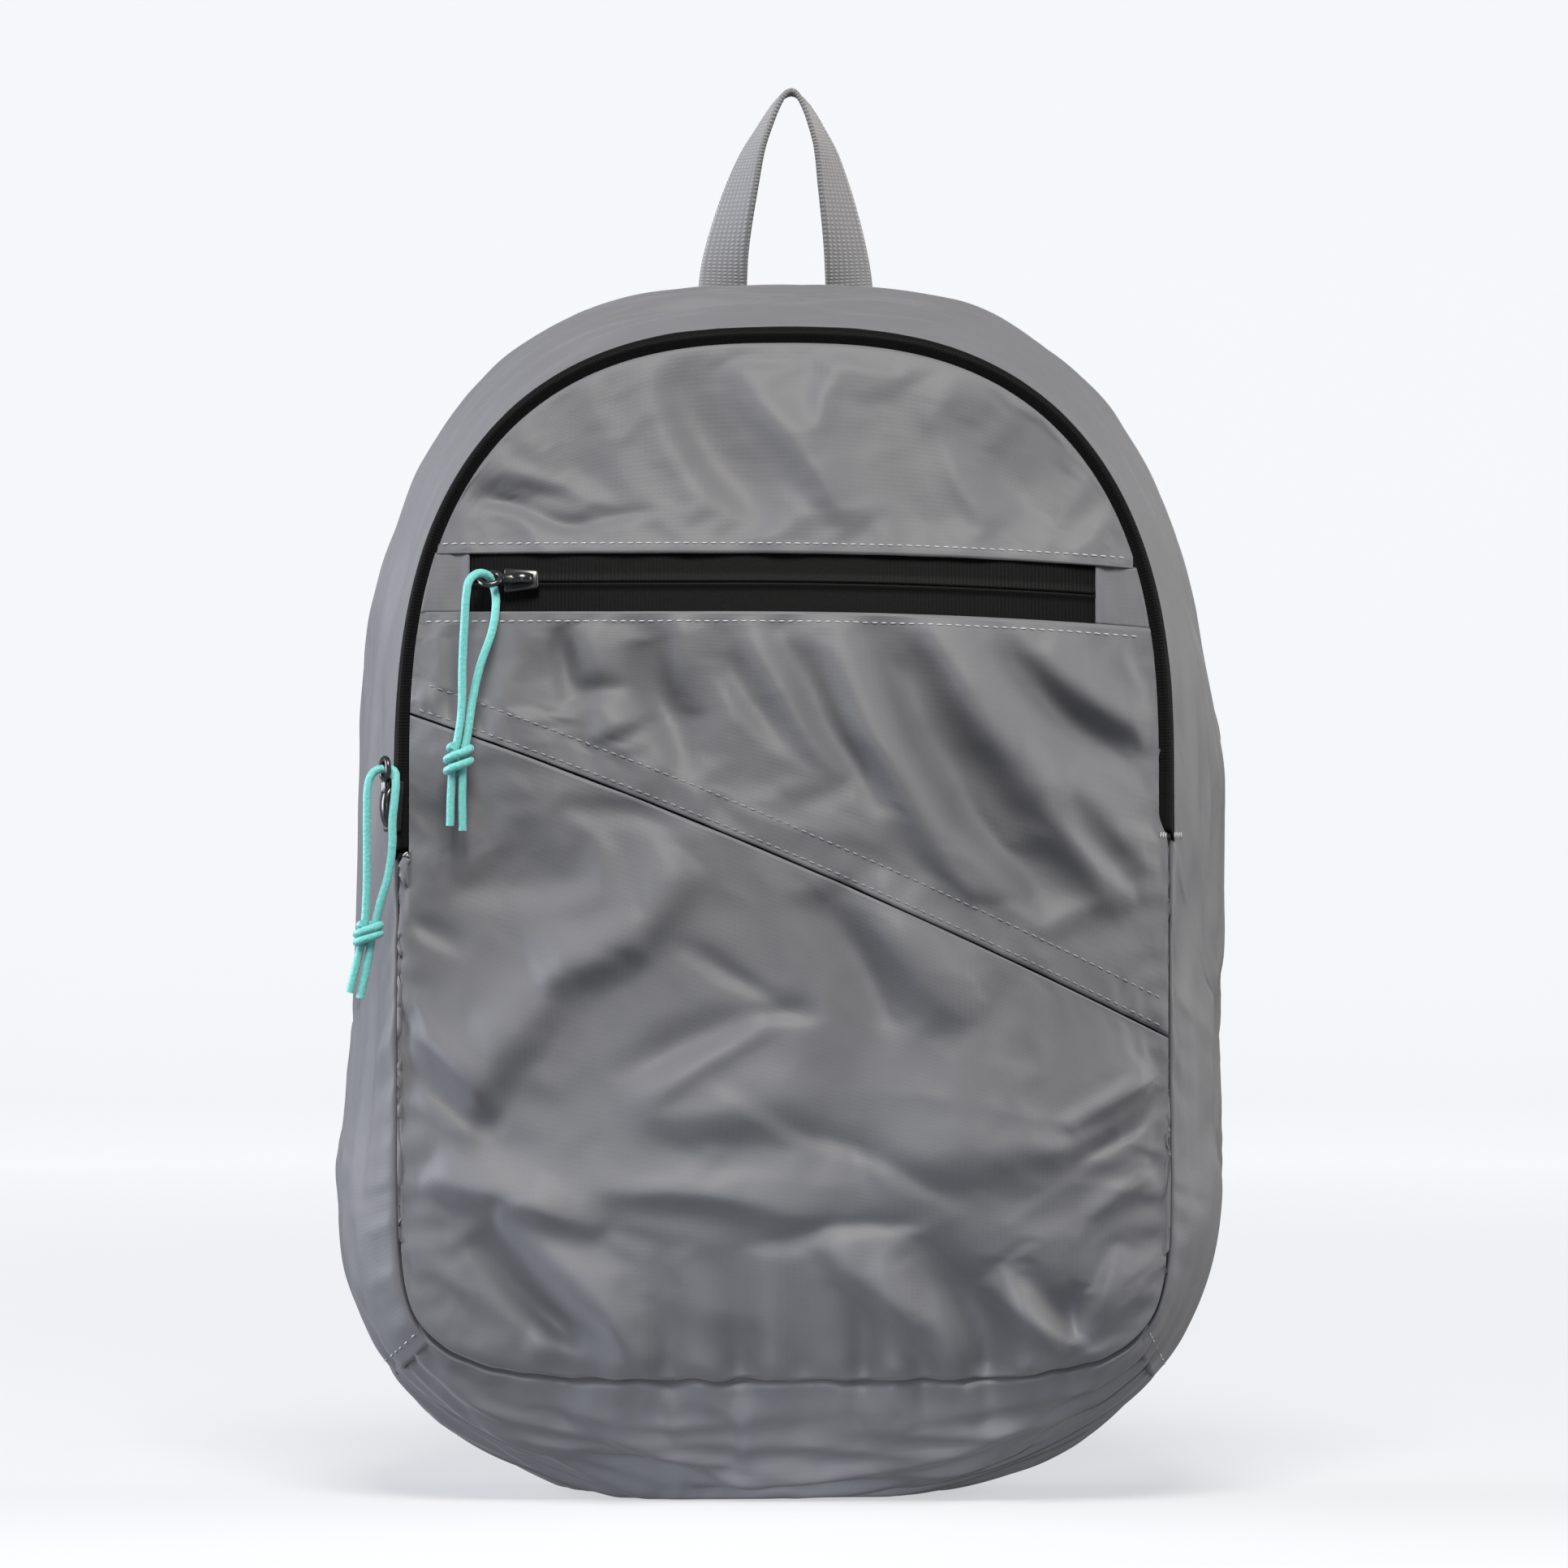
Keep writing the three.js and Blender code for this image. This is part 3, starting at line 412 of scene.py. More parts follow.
# Smaller creases that only show close up, in the same columns
FRONT_CREASES = [
    ("short pleat at the top", 11, 364, 11, 338, 3, 1.6),
    ("upper right ridge", 40, 350, 66, 306, 7, 1.8),
    ("upper left wrinkle", -100, 318, -60, 306, 3.5, -1.6),
    ("second wrinkle", -92, 326, -54, 316, 3.5, 1.4),
    ("third wrinkle", -78, 306, -40, 314, 3, -1.2),
    ("small valley at the zip", -72, 276, -66, 252, 4, -1.8),
    ("short ridge at the zip", -34, 278, -26, 248, 4.5, 1.8),
    ("next valley at the zip", -22, 278, 0, 236, 5, -2),
    ("next ridge at the zip", -13, 278, 14, 228, 4.5, 1.8),
    ("third valley at the zip", -4, 278, 30, 214, 5, -2),
    ("right shoulder ridge", 84, 232, 118, 196, 6, 1.8),
    ("right shoulder valley", 78, 226, 114, 190, 5, -1.8),
    ("crinkle by the cord", -70, 248, -46, 256, 3.5, -1.6),
    ("second crinkle", -60, 240, -38, 250, 3, 1.4),
    ("seam hollow", -70, 222, -30, 212, 6, -1.6),
    ("packing crease's ridge", -46, 127, -6, 154, 5, 1.6),
    ("cross crease", -14, 157, 10, 156, 3.5, -1.8),
    ("second cross crease", -34, 178, -2, 160, 4, -1.6),
    ("long cross crease", -24, 134, 58, 98, 4, -1.4),
    ("lower belly crease", -16, 84, 52, 92, 4, -1.2),
    ("right edge fold 1", 88, 122, 119, 134, 4, 1.8),
    ("right edge fold 2", 86, 110, 119, 120, 4, -1.8),
    ("right edge fold 3", 92, 94, 119, 104, 4, 1.6),
    ("left edge fold", -118, 148, -92, 132, 5, 1.8),
    ("left edge valley", -118, 136, -88, 120, 5, -1.8),
    ("left top edge fold", -119, 188, -98, 176, 4, -1.6),
    ("right corner ridge", 108, 84, 88, 44, 6, 2.2),
]
GATHER_DEPTH = 2
# Pleats gathered into the bottom seam, in mm: place along it, half width, depth and how far up they reach
SEAM_GATHERS = [
    (-70, 5, 2.5, 16),
    (-53, 5, -2.5, 20),
    (-37, 4, 4, 14),
    (-26, 5, -2.5, 18),
    (-14, 4, 4.5, 20),
    (-4, 4, -2.5, 16),
    (6, 3.5, 2.5, 12),
    (25, 4, 4.5, 22),
    (34, 5, -3, 22),
    (44, 4, 3, 16),
    (64, 5, 4, 24),
    (76, 6, -3, 20),
    (90, 5, 4, 22),
]
GATHER_RAMP = 8
# How far the gathered bottom seam strays up or down, its step, and how far up the cloth follows it, in mm
SEAM_WANDER = 1.2
WANDER_STEP = 8
WANDER_REACH = 7
# Edge that the zip tape holds calm, and how far and over what length the folds stray from straight, in mm
CALM_EDGE = 9
FOLD_STRAY = 5
STRAY_LENGTH = 34
# Creases all over: rise in mm
CRUMPLE_RISE = 0.9
SLANT_RISE = 1.1
# Puckers along the diagonal seam, the side seams and the pocket zip: sizes in mm
SEAM_PUCKERS = dict(rise=2.2, step=4.6, reach=12, long=30)
SIDE_PUCKERS = dict(rise=2.8, step=8, reach=9, ramp=6, below_zip=10)
ZIP_PUCKERS = dict(rise=2, step=9, reach=18, ramp=4)


def clamp(value, low=0.0, high=1.0):
    return min(max(value, low), high)


def lerp(a, b, share):
    return a + (b - a) * share


def half_width_at(line, z):
    """Half the width of an outline at a height."""
    above = clamp((z - line["shoulder"]) / (line["top"] - line["shoulder"]))
    below = clamp((line["hip"] - z) / (line["hip"] - line["bottom"]))
    power = line["top_power"] if above > 0 else line["bottom_power"]
    return line["half_width"] * (1 - max(above, below) ** power) ** (1 / power)


def edge_height(line, x, inset, upper):
    """The height of an outline's upper or lower arc at x, with the outline drawn in by the inset."""
    power = line["top_power"] if upper else line["bottom_power"]
    aside = clamp(abs(x) / (line["half_width"] - inset))
    rise = (1 - aside**power) ** (1 / power)
    if upper:
        return line["shoulder"] + (line["top"] - inset - line["shoulder"]) * rise
    return line["hip"] - (line["hip"] - line["bottom"] - inset) * rise


def front_seam_y(z):
    up = clamp((z - DEEPEST_Z) / (FRONT_SEAM["top"] - DEEPEST_Z), 0, 1.2)
    down = clamp((DEEPEST_Z - z) / (DEEPEST_Z - FRONT_SEAM["bottom"]), 0, 1.2)
    return -FRONT_DEPTH + LEAN_TOP * up**2 + LEAN_BOTTOM * down**2


def fold_rise(row, x, z):
    _, x1, z1, x2, z2, width, rise = row
    long = math.hypot(x2 - x1, z2 - z1)
    along = ((x - x1) * (x2 - x1) + (z - z1) * (z2 - z1)) / long**2
    if not 0 < along < 1:
        return 0
    off = ((x - x1) * (z2 - z1) - (z - z1) * (x2 - x1)) / long
    reach = width * (STEEP_SIDE if off > 0 else SOFT_SIDE)
    return rise * math.exp(-((off / reach) ** 2)) * math.sin(math.pi * along) ** 0.7


def front_y(x, z):
    """Depth of the smooth crowned front at (x, z)."""
    aside = clamp(abs(x) / max(1, half_width_at(FRONT_SEAM, z)))
    above = clamp((z - CROWN_Z) / (FRONT_SEAM["top"] - CROWN_Z))
    below = clamp((CROWN_Z - z) / (CROWN_Z - FRONT_SEAM["bottom"]))
    fullness = (1 - aside**2.6) * (1 - above**2.2) * (1 - below**3)
    return front_seam_y(z) - FRONT_CROWN * fullness


def zip_line(x):
    return POCKET_ZIP["z"] - POCKET_ZIP["droop"] * max(0, x - POCKET_ZIP["droop_from"]) ** 2


def diagonal_line(x):
    return DIAGONAL["z"] + DIAGONAL["slope"] * x + DIAGONAL["bend"] * x**2


def panel_side(z, side):
    """Where a front panel ends beside the gusset, or beside the main zip's tape above the zip's end."""
    zipped = clamp((z - MAIN_ZIP_ENDS[side]) / ZIP_END + 0.5)
    return half_width_at(FRONT_SEAM, z) - lerp(SEAM_INSET, ZIP_INSET, zipped)


def ripple(x, z, seed):
    return noise.noise(Vector((x, z, seed)))


BROAD_CREASE = 34
FINE_CREASE = 15


def crumple(x, z, seed):
    """Small sharp-backed creases in thin cloth, from -1 to 1."""
    broad = 1 - 2 * abs(ripple(x / BROAD_CREASE, z / BROAD_CREASE, seed))
    fine = 1 - 2 * abs(ripple(x / FINE_CREASE, z / FINE_CREASE, seed + 5))
    return 0.65 * broad + 0.35 * fine


# Lie of the long folds: they run down to the right above the diagonal seam, and fan out over 60 mm below it
SLANT = Vector((0.57, -0.82))
FAN_RUN = 0.95
FAN_RISE = 0.3
FAN_REACH = 60
LONG_FOLD = 90
LONG_FOLD_STEP = 26


def slanted(x, z, seed):
    """Long soft folds side by side, from -1 to 1."""
    level = clamp((diagonal_line(x) - z) / FAN_REACH)
    fanned = FAN_RISE * x / FRONT_SEAM["half_width"]
    run = Vector((lerp(SLANT.x, FAN_RUN, level), lerp(SLANT.y, fanned, level))).normalized()
    along = x * run.x + z * run.y
    aside = x * run.y - z * run.x
    return 1 - 2 * abs(ripple(along / LONG_FOLD, aside / LONG_FOLD_STEP, seed))


def seam_wander(x):
    """How far the bottom seam strays up or down where it is gathered, in mm."""
    return SEAM_WANDER * ripple(x / WANDER_STEP, 0, 71.0)


def front_cloth(x, z):
    """A point on the front's cloth in mm, with its crown, folds, creases and puckers along the seams."""
    side = 1 if x > 0 else -1
    in_side = panel_side(z, side) - abs(x)
    in_arch = edge_height(FRONT_SEAM, x, ZIP_INSET, True) - z
    inside = clamp(min(in_side, in_arch) / CALM_EDGE)
    calm = inside * inside * (3 - 2 * inside)
    bent_x = x + FOLD_STRAY * calm * ripple(x / STRAY_LENGTH, z / STRAY_LENGTH, 61.0)
    bent_z = z + FOLD_STRAY * calm * ripple(x / STRAY_LENGTH, z / STRAY_LENGTH, 67.0)
    creases = sum(fold_rise(row, bent_x, bent_z) for row in FRONT_CREASES)
    folds = sum(fold_rise(row, bent_x, bent_z) for row in FRONT_FOLDS)
    y = front_y(x, z) - FOLD_DEPTH * calm * (folds + creases)
    y -= calm * (CRUMPLE_RISE * crumple(x, z, 2.0) + SLANT_RISE * slanted(x, z, 7.0))
    over_bottom = z - edge_height(FRONT_SEAM, x, SEAM_INSET, False)
    for at, width, depth, reach in SEAM_GATHERS:
        drawn_in = clamp(0.5 + over_bottom / GATHER_RAMP) * math.exp(-over_bottom / reach)
        y += GATHER_DEPTH * depth * drawn_in * math.exp(-(((x - at) / width) ** 2))
    z += seam_wander(x) * math.exp(-over_bottom / WANDER_REACH)
    over_seam = z - diagonal_line(x)
    pucker = SEAM_PUCKERS
    if 0 < over_seam < pucker["reach"]:
        drawn = pucker["rise"] * ripple(x / pucker["step"], z / pucker["long"], 17.0)
        y -= drawn * math.sin(math.pi * over_seam / pucker["reach"])
    pucker = SIDE_PUCKERS
    sewn = clamp((MAIN_ZIP_ENDS[side] - z) / pucker["below_zip"]) * clamp(in_side / pucker["ramp"])
    drawn = pucker["rise"] * sewn * ripple(3 * side, z / pucker["step"], 23.0)
    y -= drawn * math.exp(-((in_side / pucker["reach"]) ** 2))
    pucker = ZIP_PUCKERS
    under_zip = zip_line(x) - POCKET_ZIP["half_width"] - z
    if under_zip > 0:
        drawn = pucker["rise"] * ripple(x / pucker["step"], 4, 29.0)
        ramp = clamp((under_zip - pucker["ramp"]) / pucker["ramp"])
        y -= drawn * math.exp(-((under_zip / pucker["reach"]) ** 2)) * ramp
    return Vector((x, y, z))


nylon, tree, shader, where = finish(
    "grey nylon taffeta", "#5b5c60", 0.58, Sheen_Weight=0.1, Specular_IOR_Level=0.3
)
# Calendered taffeta: a close plain weave with a faint shine, mottled where it was crushed in packing. Its
# threads, about 0.2 mm apart, are drawn 1.4 mm apart so that they show.
THREAD = 0.0014
CRUSH = 0.012
CRINKLE = 0.03
# Length of one band of a wave texture at scale 1
WAVE_LENGTH = 2 * math.pi / 20
on_cut = [("Vector", where, "UV")]
warp, weft = (
    node(tree, "ShaderNodeTexWave", on_cut, bands_direction=way, scale=WAVE_LENGTH / THREAD) for way in "XY"
)
weave = node(tree, "ShaderNodeMath", [(0, warp, "Fac"), (1, weft, "Fac")], operation="MULTIPLY")
crush = node(tree, "ShaderNodeTexNoise", [("Vector", where, "Object")], scale=1 / CRUSH, detail=4)
mottle = node(tree, "ShaderNodeTexNoise", [("Vector", where, "Object")], scale=1 / (4 * CRUSH), detail=2)
tone = node(tree, "ShaderNodeMix", [(0, mottle, "Fac")], data_type="RGBA")
tone.inputs[6].default_value = linear("#56575c")
tone.inputs[7].default_value = linear("#606165")
tree.links.new(tone.outputs[2], shader.inputs["Base Color"])
threads = node(tree, "ShaderNodeBump", [("Height", weave, 0)], strength=0.12, distance=0.0002)
over_threads = [("Height", crush, "Fac"), ("Normal", threads, 0)]
creased = node(tree, "ShaderNodeBump", over_threads, strength=0.3, distance=0.001)
crinkle = node(tree, "ShaderNodeTexNoise", [("Vector", where, "Object")], scale=1 / CRINKLE, detail=3)
crinkle.noise_type = "RIDGED_MULTIFRACTAL"
over_creases = [("Height", crinkle, "Fac"), ("Normal", creased, 0)]
crinkled = node(tree, "ShaderNodeBump", over_creases, strength=0.6, distance=0.0015)
tree.links.new(crinkled.outputs[0], shader.inputs["Normal"])

CLOTH_WALL = 0.0009


def cloth_panel(name, columns, rows, at, material, span):
    """A grid of cloth: at(u, v) gives its face in mm, and span its flat width and length for the weave."""
    mesh = bmesh.new()
    bmesh.ops.create_grid(mesh, x_segments=columns, y_segments=rows, size=0.5, calc_uvs=True)
    weave_map = mesh.loops.layers.uv.active or mesh.loops.layers.uv.new("weave")
    for face in mesh.faces:
        for corner in face.loops:
            share = corner.vert.co
            corner[weave_map].uv = ((share.x + 0.5) * span[0], (share.y + 0.5) * span[1])
    for vert in mesh.verts:
        vert.co = at(vert.co.x + 0.5, vert.co.y + 0.5) * MM
    bmesh.ops.remove_doubles(mesh, verts=mesh.verts, dist=0.00005)
    return link_mesh(name, mesh, material)


def ease_ends(u):
    """Shares from 0 to 1 that crowd towards both ends, so that a round corner keeps its shape."""
    t = 2 * u - 1
    return (1.5 * t - 0.5 * t**3 + 1) / 2


def front_point(u, v, lower, upper, widest):
    """Cloth between two lines across the front, as wide as the panel is at the height widest(z)."""
    t = 2 * ease_ends(u) - 1
    side = 1 if t > 0 else -1
    z = lerp(lower(0), upper(0), v)
    for _ in range(4):
        x = t * panel_side(widest(z), side)
        z = lerp(lower(x), upper(x), v)
    return front_cloth(x, z)


SEAM_GAP = 0.35


def bottom_edge(x):
    return edge_height(FRONT_SEAM, x, SEAM_INSET, False)


def below_seam(x):
    return diagonal_line(x) - SEAM_GAP


def above_seam(x):
    return diagonal_line(x) + SEAM_GAP


def below_zip(x):
    return zip_line(x) - POCKET_ZIP["half_width"]


def above_zip(x):
    return zip_line(x) + POCKET_ZIP["half_width"]


def top_edge(x):
    return max(edge_height(FRONT_SEAM, x, ZIP_INSET, True), above_zip(x))


def lower_cloth(u, v):
    return front_point(u, v, bottom_edge, below_seam, lambda z: max(z, FRONT_SEAM["hip"]))


def middle_cloth(u, v):
    return front_point(u, v, above_seam, below_zip, lambda z: z)


def upper_cloth(u, v):
    return front_point(u, v, above_zip, top_edge, lambda z: POCKET_ZIP["z"] + POCKET_ZIP["half_width"])


# Each panel has its columns and rows, and its flat width and length in metres for the weave
lower_panel = cloth_panel("lower_front_cloth", 112, 70, lower_cloth, nylon, (0.24, 0.16))
middle_panel = cloth_panel("middle_front_cloth", 96, 40, middle_cloth, nylon, (0.235, 0.08))
upper_panel = cloth_panel("upper_front_cloth", 84, 32, upper_cloth, nylon, (0.22, 0.065))

# Side gusset and bottom panel
# One long strip of the same taffeta goes over both sides and the top, and a second strip closes the bottom.
# They are sewn to the front and back panels, meet at the lower corners, and roll along their length.
GIRTH = dict(half_width=139.5, top=385, shoulder=160, hip=105, bottom=-2, top_power=2.88, bottom_power=2.48)
BACK_SEAM = dict(half_width=127, top=377, shoulder=215, hip=110, bottom=25, top_power=2.6, bottom_power=3.4)
SAG_SHIFT = -4.5
SAG_BELOW = 150
SWAY = dict(shift=2.5, low=150, high=290)
GIRTH_Y = 3
GIRTH_LEAN = 7
BACK_DEPTH = 50
BACK_LEAN = 8
SIDE_ROUND = 2.4
FOOT_ROUND = 3.4
CORNER_PLACE = 2.35
TAPE_ON_GUSSET = 2.7

# Rolls along the gusset: place on the outline, reach along it, share across, width across and rise in mm
GUSSET_FOLDS = [
    ("left top roll", -0.25, 0.3, 0.42, 0.1, 2.2),
    ("right top roll", 0.28, 0.3, 0.4, 0.1, 2.2),
    ("right top valley", 0.3, 0.26, 0.62, 0.09, -2),
    ("left side valley", -1.6, 0.8, 0.36, 0.1, -2.2),
    ("left side roll", -1.7, 0.8, 0.7, 0.12, 2),
    ("right side dent", 0.86, 0.1, 0.5, 0.22, -1.6),
    ("left waist", -0.82, 0.22, 0.5, 0.4, -2.4),
    ("right waist", 0.8, 0.22, 0.5, 0.4, -2.2),
    ("right side roll", 1.7, 0.8, 0.27, 0.1, 2),
    ("left corner roll", -2.1, 0.3, 0.22, 0.09, 2),
    ("right corner roll", 2.1, 0.3, 0.24, 0.09, 2),
]
ARC_STEPS = 200


def arc_point(width, rise, power, share):
    angle = share * math.pi / 2
    return Vector((width * math.sin(angle) ** (2 / power), rise * max(0, math.cos(angle)) ** (2 / power)))


for line in (FRONT_SEAM, GIRTH, BACK_SEAM):
    line["upper"] = (line["half_width"], line["top"] - line["shoulder"], line["top_power"])
    line["lower"] = (line["half_width"], line["hip"] - line["bottom"], line["bottom_power"])
    for arc in ("upper", "lower"):
        walked = [0]
        for i in range(ARC_STEPS):
            step = arc_point(*line[arc], (i + 1) / ARC_STEPS) - arc_point(*line[arc], i / ARC_STEPS)
            walked.append(walked[-1] + step.length)
        line[arc + "_walked"] = walked


def along_arc(line, arc, share):
    """A point at an even share of an arc's length."""
    walked = line[arc + "_walked"]
    target = clamp(share) * walked[-1]
    i = min(bisect.bisect_right(walked, target) - 1, ARC_STEPS - 1)
    part = (target - walked[i]) / (walked[i + 1] - walked[i])
    return arc_point(*line[arc], (i + part) / ARC_STEPS)


def outline_at(line, place):
    """(x, z) on an outline: 0 is the top centre, 1 the shoulder, 2 the hip, 3 the bottom, left negative."""
    side = -1 if place < 0 else 1
    run = min(abs(place), 3)
    if run <= 1:
        arc = along_arc(line, "upper", run)
        return side * arc.x, line["shoulder"] + arc.y
    if run <= 2:
        return side * line["half_width"], lerp(line["shoulder"], line["hip"], run - 1)
    arc = along_arc(line, "lower", 3 - run)
    return side * arc.x, line["hip"] - arc.y


def girth_point(place, across):
    """A point of the band round the bag in mm, across = 0 at the front seam and 1 at the back seam."""
    fx, fz = outline_at(FRONT_SEAM, place)
    gx, gz = outline_at(GIRTH, place)
    bx, bz = outline_at(BACK_SEAM, place)
    front = Vector((fx, front_seam_y(fz), fz))
    back = Vector((bx, BACK_DEPTH - BACK_LEAN * (bz / BACK_SEAM["top"]) ** 2, bz))
    sag = SAG_SHIFT * clamp(1 - gz / SAG_BELOW)
    sway = SWAY["shift"] * math.sin(math.pi * clamp((gz - SWAY["low"]) / (SWAY["high"] - SWAY["low"]))) ** 2
    girth = Vector((gx + sag + sway, GIRTH_Y + GIRTH_LEAN * (gz / GIRTH["top"]) ** 2, gz))
    ease = clamp((3 - abs(place) - 0.3) / 1.1)
    bulge = girth - (front + back) / 2
    power = lerp(FOOT_ROUND, SIDE_ROUND, ease * ease * (3 - 2 * ease))
    point = lerp(front, back, across) + bulge * (1 - abs(2 * across - 1) ** power)
    out = bulge.normalized()
    for _, at_place, reach, at_across, width, rise in GUSSET_FOLDS:
        along = (place - at_place) / reach
        if abs(along) < 1:
            off = (across - at_across) / width
            point += out * rise * (1 - along**2) ** 2 * math.exp(-(off**2))
    point.z = max(0, point.z)
    return point, out


def girth_width(place):
    front, middle, back = (girth_point(place, across)[0] for across in (0, 0.5, 1))
    return (middle - front).length + (back - middle).length


def girth_run(place):
    """Length along the widest line from the top centre in mm, negative on the left."""
    run = abs(place)
    straight = GIRTH["shoulder"] - GIRTH["hip"]
    long = GIRTH["upper_walked"][-1] * clamp(run) + straight * clamp(run - 1)
    long += GIRTH["lower_walked"][-1] * clamp(run - 2)
    return long if place > 0 else -long


def band_face(place, across):
    """A point of the band in mm and the direction square to its face."""
    here, out = girth_point(place, across)
    onward = 0.01 if abs(place) < 1.5 else -0.01 * math.copysign(1, place)
    inward = 0.01 if across < 0.5 else -0.01
    along = girth_point(place + onward, across)[0] - here
    over = girth_point(place, across + inward)[0] - here
    square = along.cross(over).normalized()
    return here, square if square.dot(out) > 0 else -square


# Rolls and creases along the band: length in mm, how many lie across, rise and sink in mm
ROLLS = dict(long=110, across=6, rise=3)
CREASES = dict(long=60, across=14, rise=7, sink=4.2)
# Puckers beside the band's seams: step and rise in mm, reach as a share across, and how fast they begin
PUCKERS = dict(step=6, rise=1.6, reach=0.1, ramp=30)
# Share across that the zip tape holds calm, and the least height of the cloth over the floor in mm
CALM_SHARE = 0.12
FLOOR_GAP = 0.3


def band_cloth(place, across, zipped):
    """The band's cloth in mm, with rolls and creases along it, and puckers beside its plain seams."""
    point, out = band_face(place, across)
    held = math.sin(math.pi * clamp(across)) ** 0.6 * (0.3 + 0.7 * abs(2 * across - 1))
    held *= 1 - zipped * (1 - clamp(across / CALM_SHARE))
    long = girth_run(place)
    roll = ripple(long / ROLLS["long"], across * ROLLS["across"] + 0.4, 31.0) * ROLLS["rise"]
    sharp = 1 - 2 * abs(ripple(long / CREASES["long"], across * CREASES["across"] + 0.4, 37.0))
    crease = sharp * CREASES["rise"] - CREASES["sink"]
    front_edge = math.exp(-((across / PUCKERS["reach"]) ** 2)) * (1 - 0.8 * zipped)
    edges = front_edge + math.exp(-(((1 - across) / PUCKERS["reach"]) ** 2))
    pucker = ripple(long / PUCKERS["step"], 1, 41.0) * PUCKERS["rise"] * edges
    pucker = pucker * clamp(PUCKERS["ramp"] * across) * clamp(PUCKERS["ramp"] * (1 - across))
    point = point + out * (held * (roll + crease) + pucker)
    point.z = max(FLOOR_GAP, point.z)
    return point


HEM_ROWS = 2
# Seam allowance: how far its fold and its edge lie inside the seam, and how far behind it, in mm
HEM_FOLD = (1.2, 6)
HEM_EDGE = (4.2, 3.2)
GUSSET_GRID = (260, 38)
BOTTOM_GRID = (102, 94)
# Creases and rolls of the bottom: how many lie along and down it, and rise and sink in mm
BOTTOM_CREASES = dict(along=3, down=15, rise=4, sink=2.5)
BOTTOM_ROLLS = dict(along=4, down=7, rise=3)
# Shares down the panel over which its edges are held, and the gathers and the seam's wander die out, and how
# steeply the gathers begin
HELD_EDGE = 0.06
GATHER_FALL = 0.045
WANDER_FALL = 0.06
GATHER_GAIN = 8
# How far each hem row of the bottom goes on under the gusset along the outline, and how deep in mm
CORNER_LAP = 0.02
CORNER_SINK = 0.75
PLEAT_DRIFT = 3
# Small pleats that hang below the gathered bottom seam: x, half width, rise and share down the panel
PLEATS = [
    ("left pleat", -37, 3.4, 2.6, 0.1),
    ("long pleat", -14, 3.6, 3.4, 0.16),
    ("right pleat", 25, 3.2, 2.6, 0.09),
    ("outer left pleat", -62, 3.6, 1.8, 0.07),
    ("outer right pleat", 58, 3.4, 2, 0.08),
]
# Sharper ripples that sweep from the bottom up into the corners: from and to as shares of the panel's length,
# share down the panel at the start, middle and end, width as a share and rise in mm
SWEEPS = [
    ("long sweep", 0.06, 0.96, 0.08, 0.27, 0.12, 0.03, 3.4),
    ("left sweep", 0.04, 0.6, 0.03, 0.16, 0.2, 0.026, 3),
    ("left corner sweep", 0.02, 0.34, 0.1, 0.2, 0.26, 0.024, 2.4),
    ("right seam sweep", 0.5, 0.8, 0.2, 0.13, 0.03, 0.028, 3),
    ("right sweep", 0.58, 0.97, 0.25, 0.2, 0.05, 0.026, 3),
    ("right corner sweep", 0.7, 0.99, 0.18, 0.12, 0.02, 0.02, 2.2),
    ("low sweep", 0.2, 0.84, 0.3, 0.33, 0.29, 0.024, 2.6),
]


def between_hems(share, count):
    """A grid row's share of the cloth between the hems, and its row in a hem, below 0 at the start."""
    row = round(share * count)
    if row < HEM_ROWS:
        return 0, row - HEM_ROWS
    if row > count - HEM_ROWS:
        return 1, row - count + HEM_ROWS
    return (row - HEM_ROWS) / (count - 2 * HEM_ROWS), 0


def turned_in(point, hem):
    """A row of the seam allowance that is turned in behind the front panel (below 0) or the back panel."""
    inward = Vector((-point.x, 0, (GIRTH["top"] + GIRTH["bottom"]) / 2 - point.z)).normalized()
    inside, behind = HEM_FOLD if abs(hem) == 1 else HEM_EDGE
    return point + inward * inside - Vector((0, math.copysign(behind, hem), 0))


def gusset_cloth(u, v):
    place = lerp(-CORNER_PLACE, CORNER_PLACE, u)
    side = 1 if place > 0 else -1
    z = outline_at(FRONT_SEAM, place)[1]
    zipped = clamp((z - MAIN_ZIP_ENDS[side]) / ZIP_END + 0.5)
    start = TAPE_ON_GUSSET / girth_width(place) * zipped
    share, hem = between_hems(v, GUSSET_GRID[1])
    point = band_cloth(place, lerp(start, 1, share), zipped)
    if hem < 0:
        beside_zip = point + girth_point(place, start)[1] * 0.4 * hem
        return lerp(turned_in(point, hem), beside_zip, zipped)
    return turned_in(point, hem) if hem else point


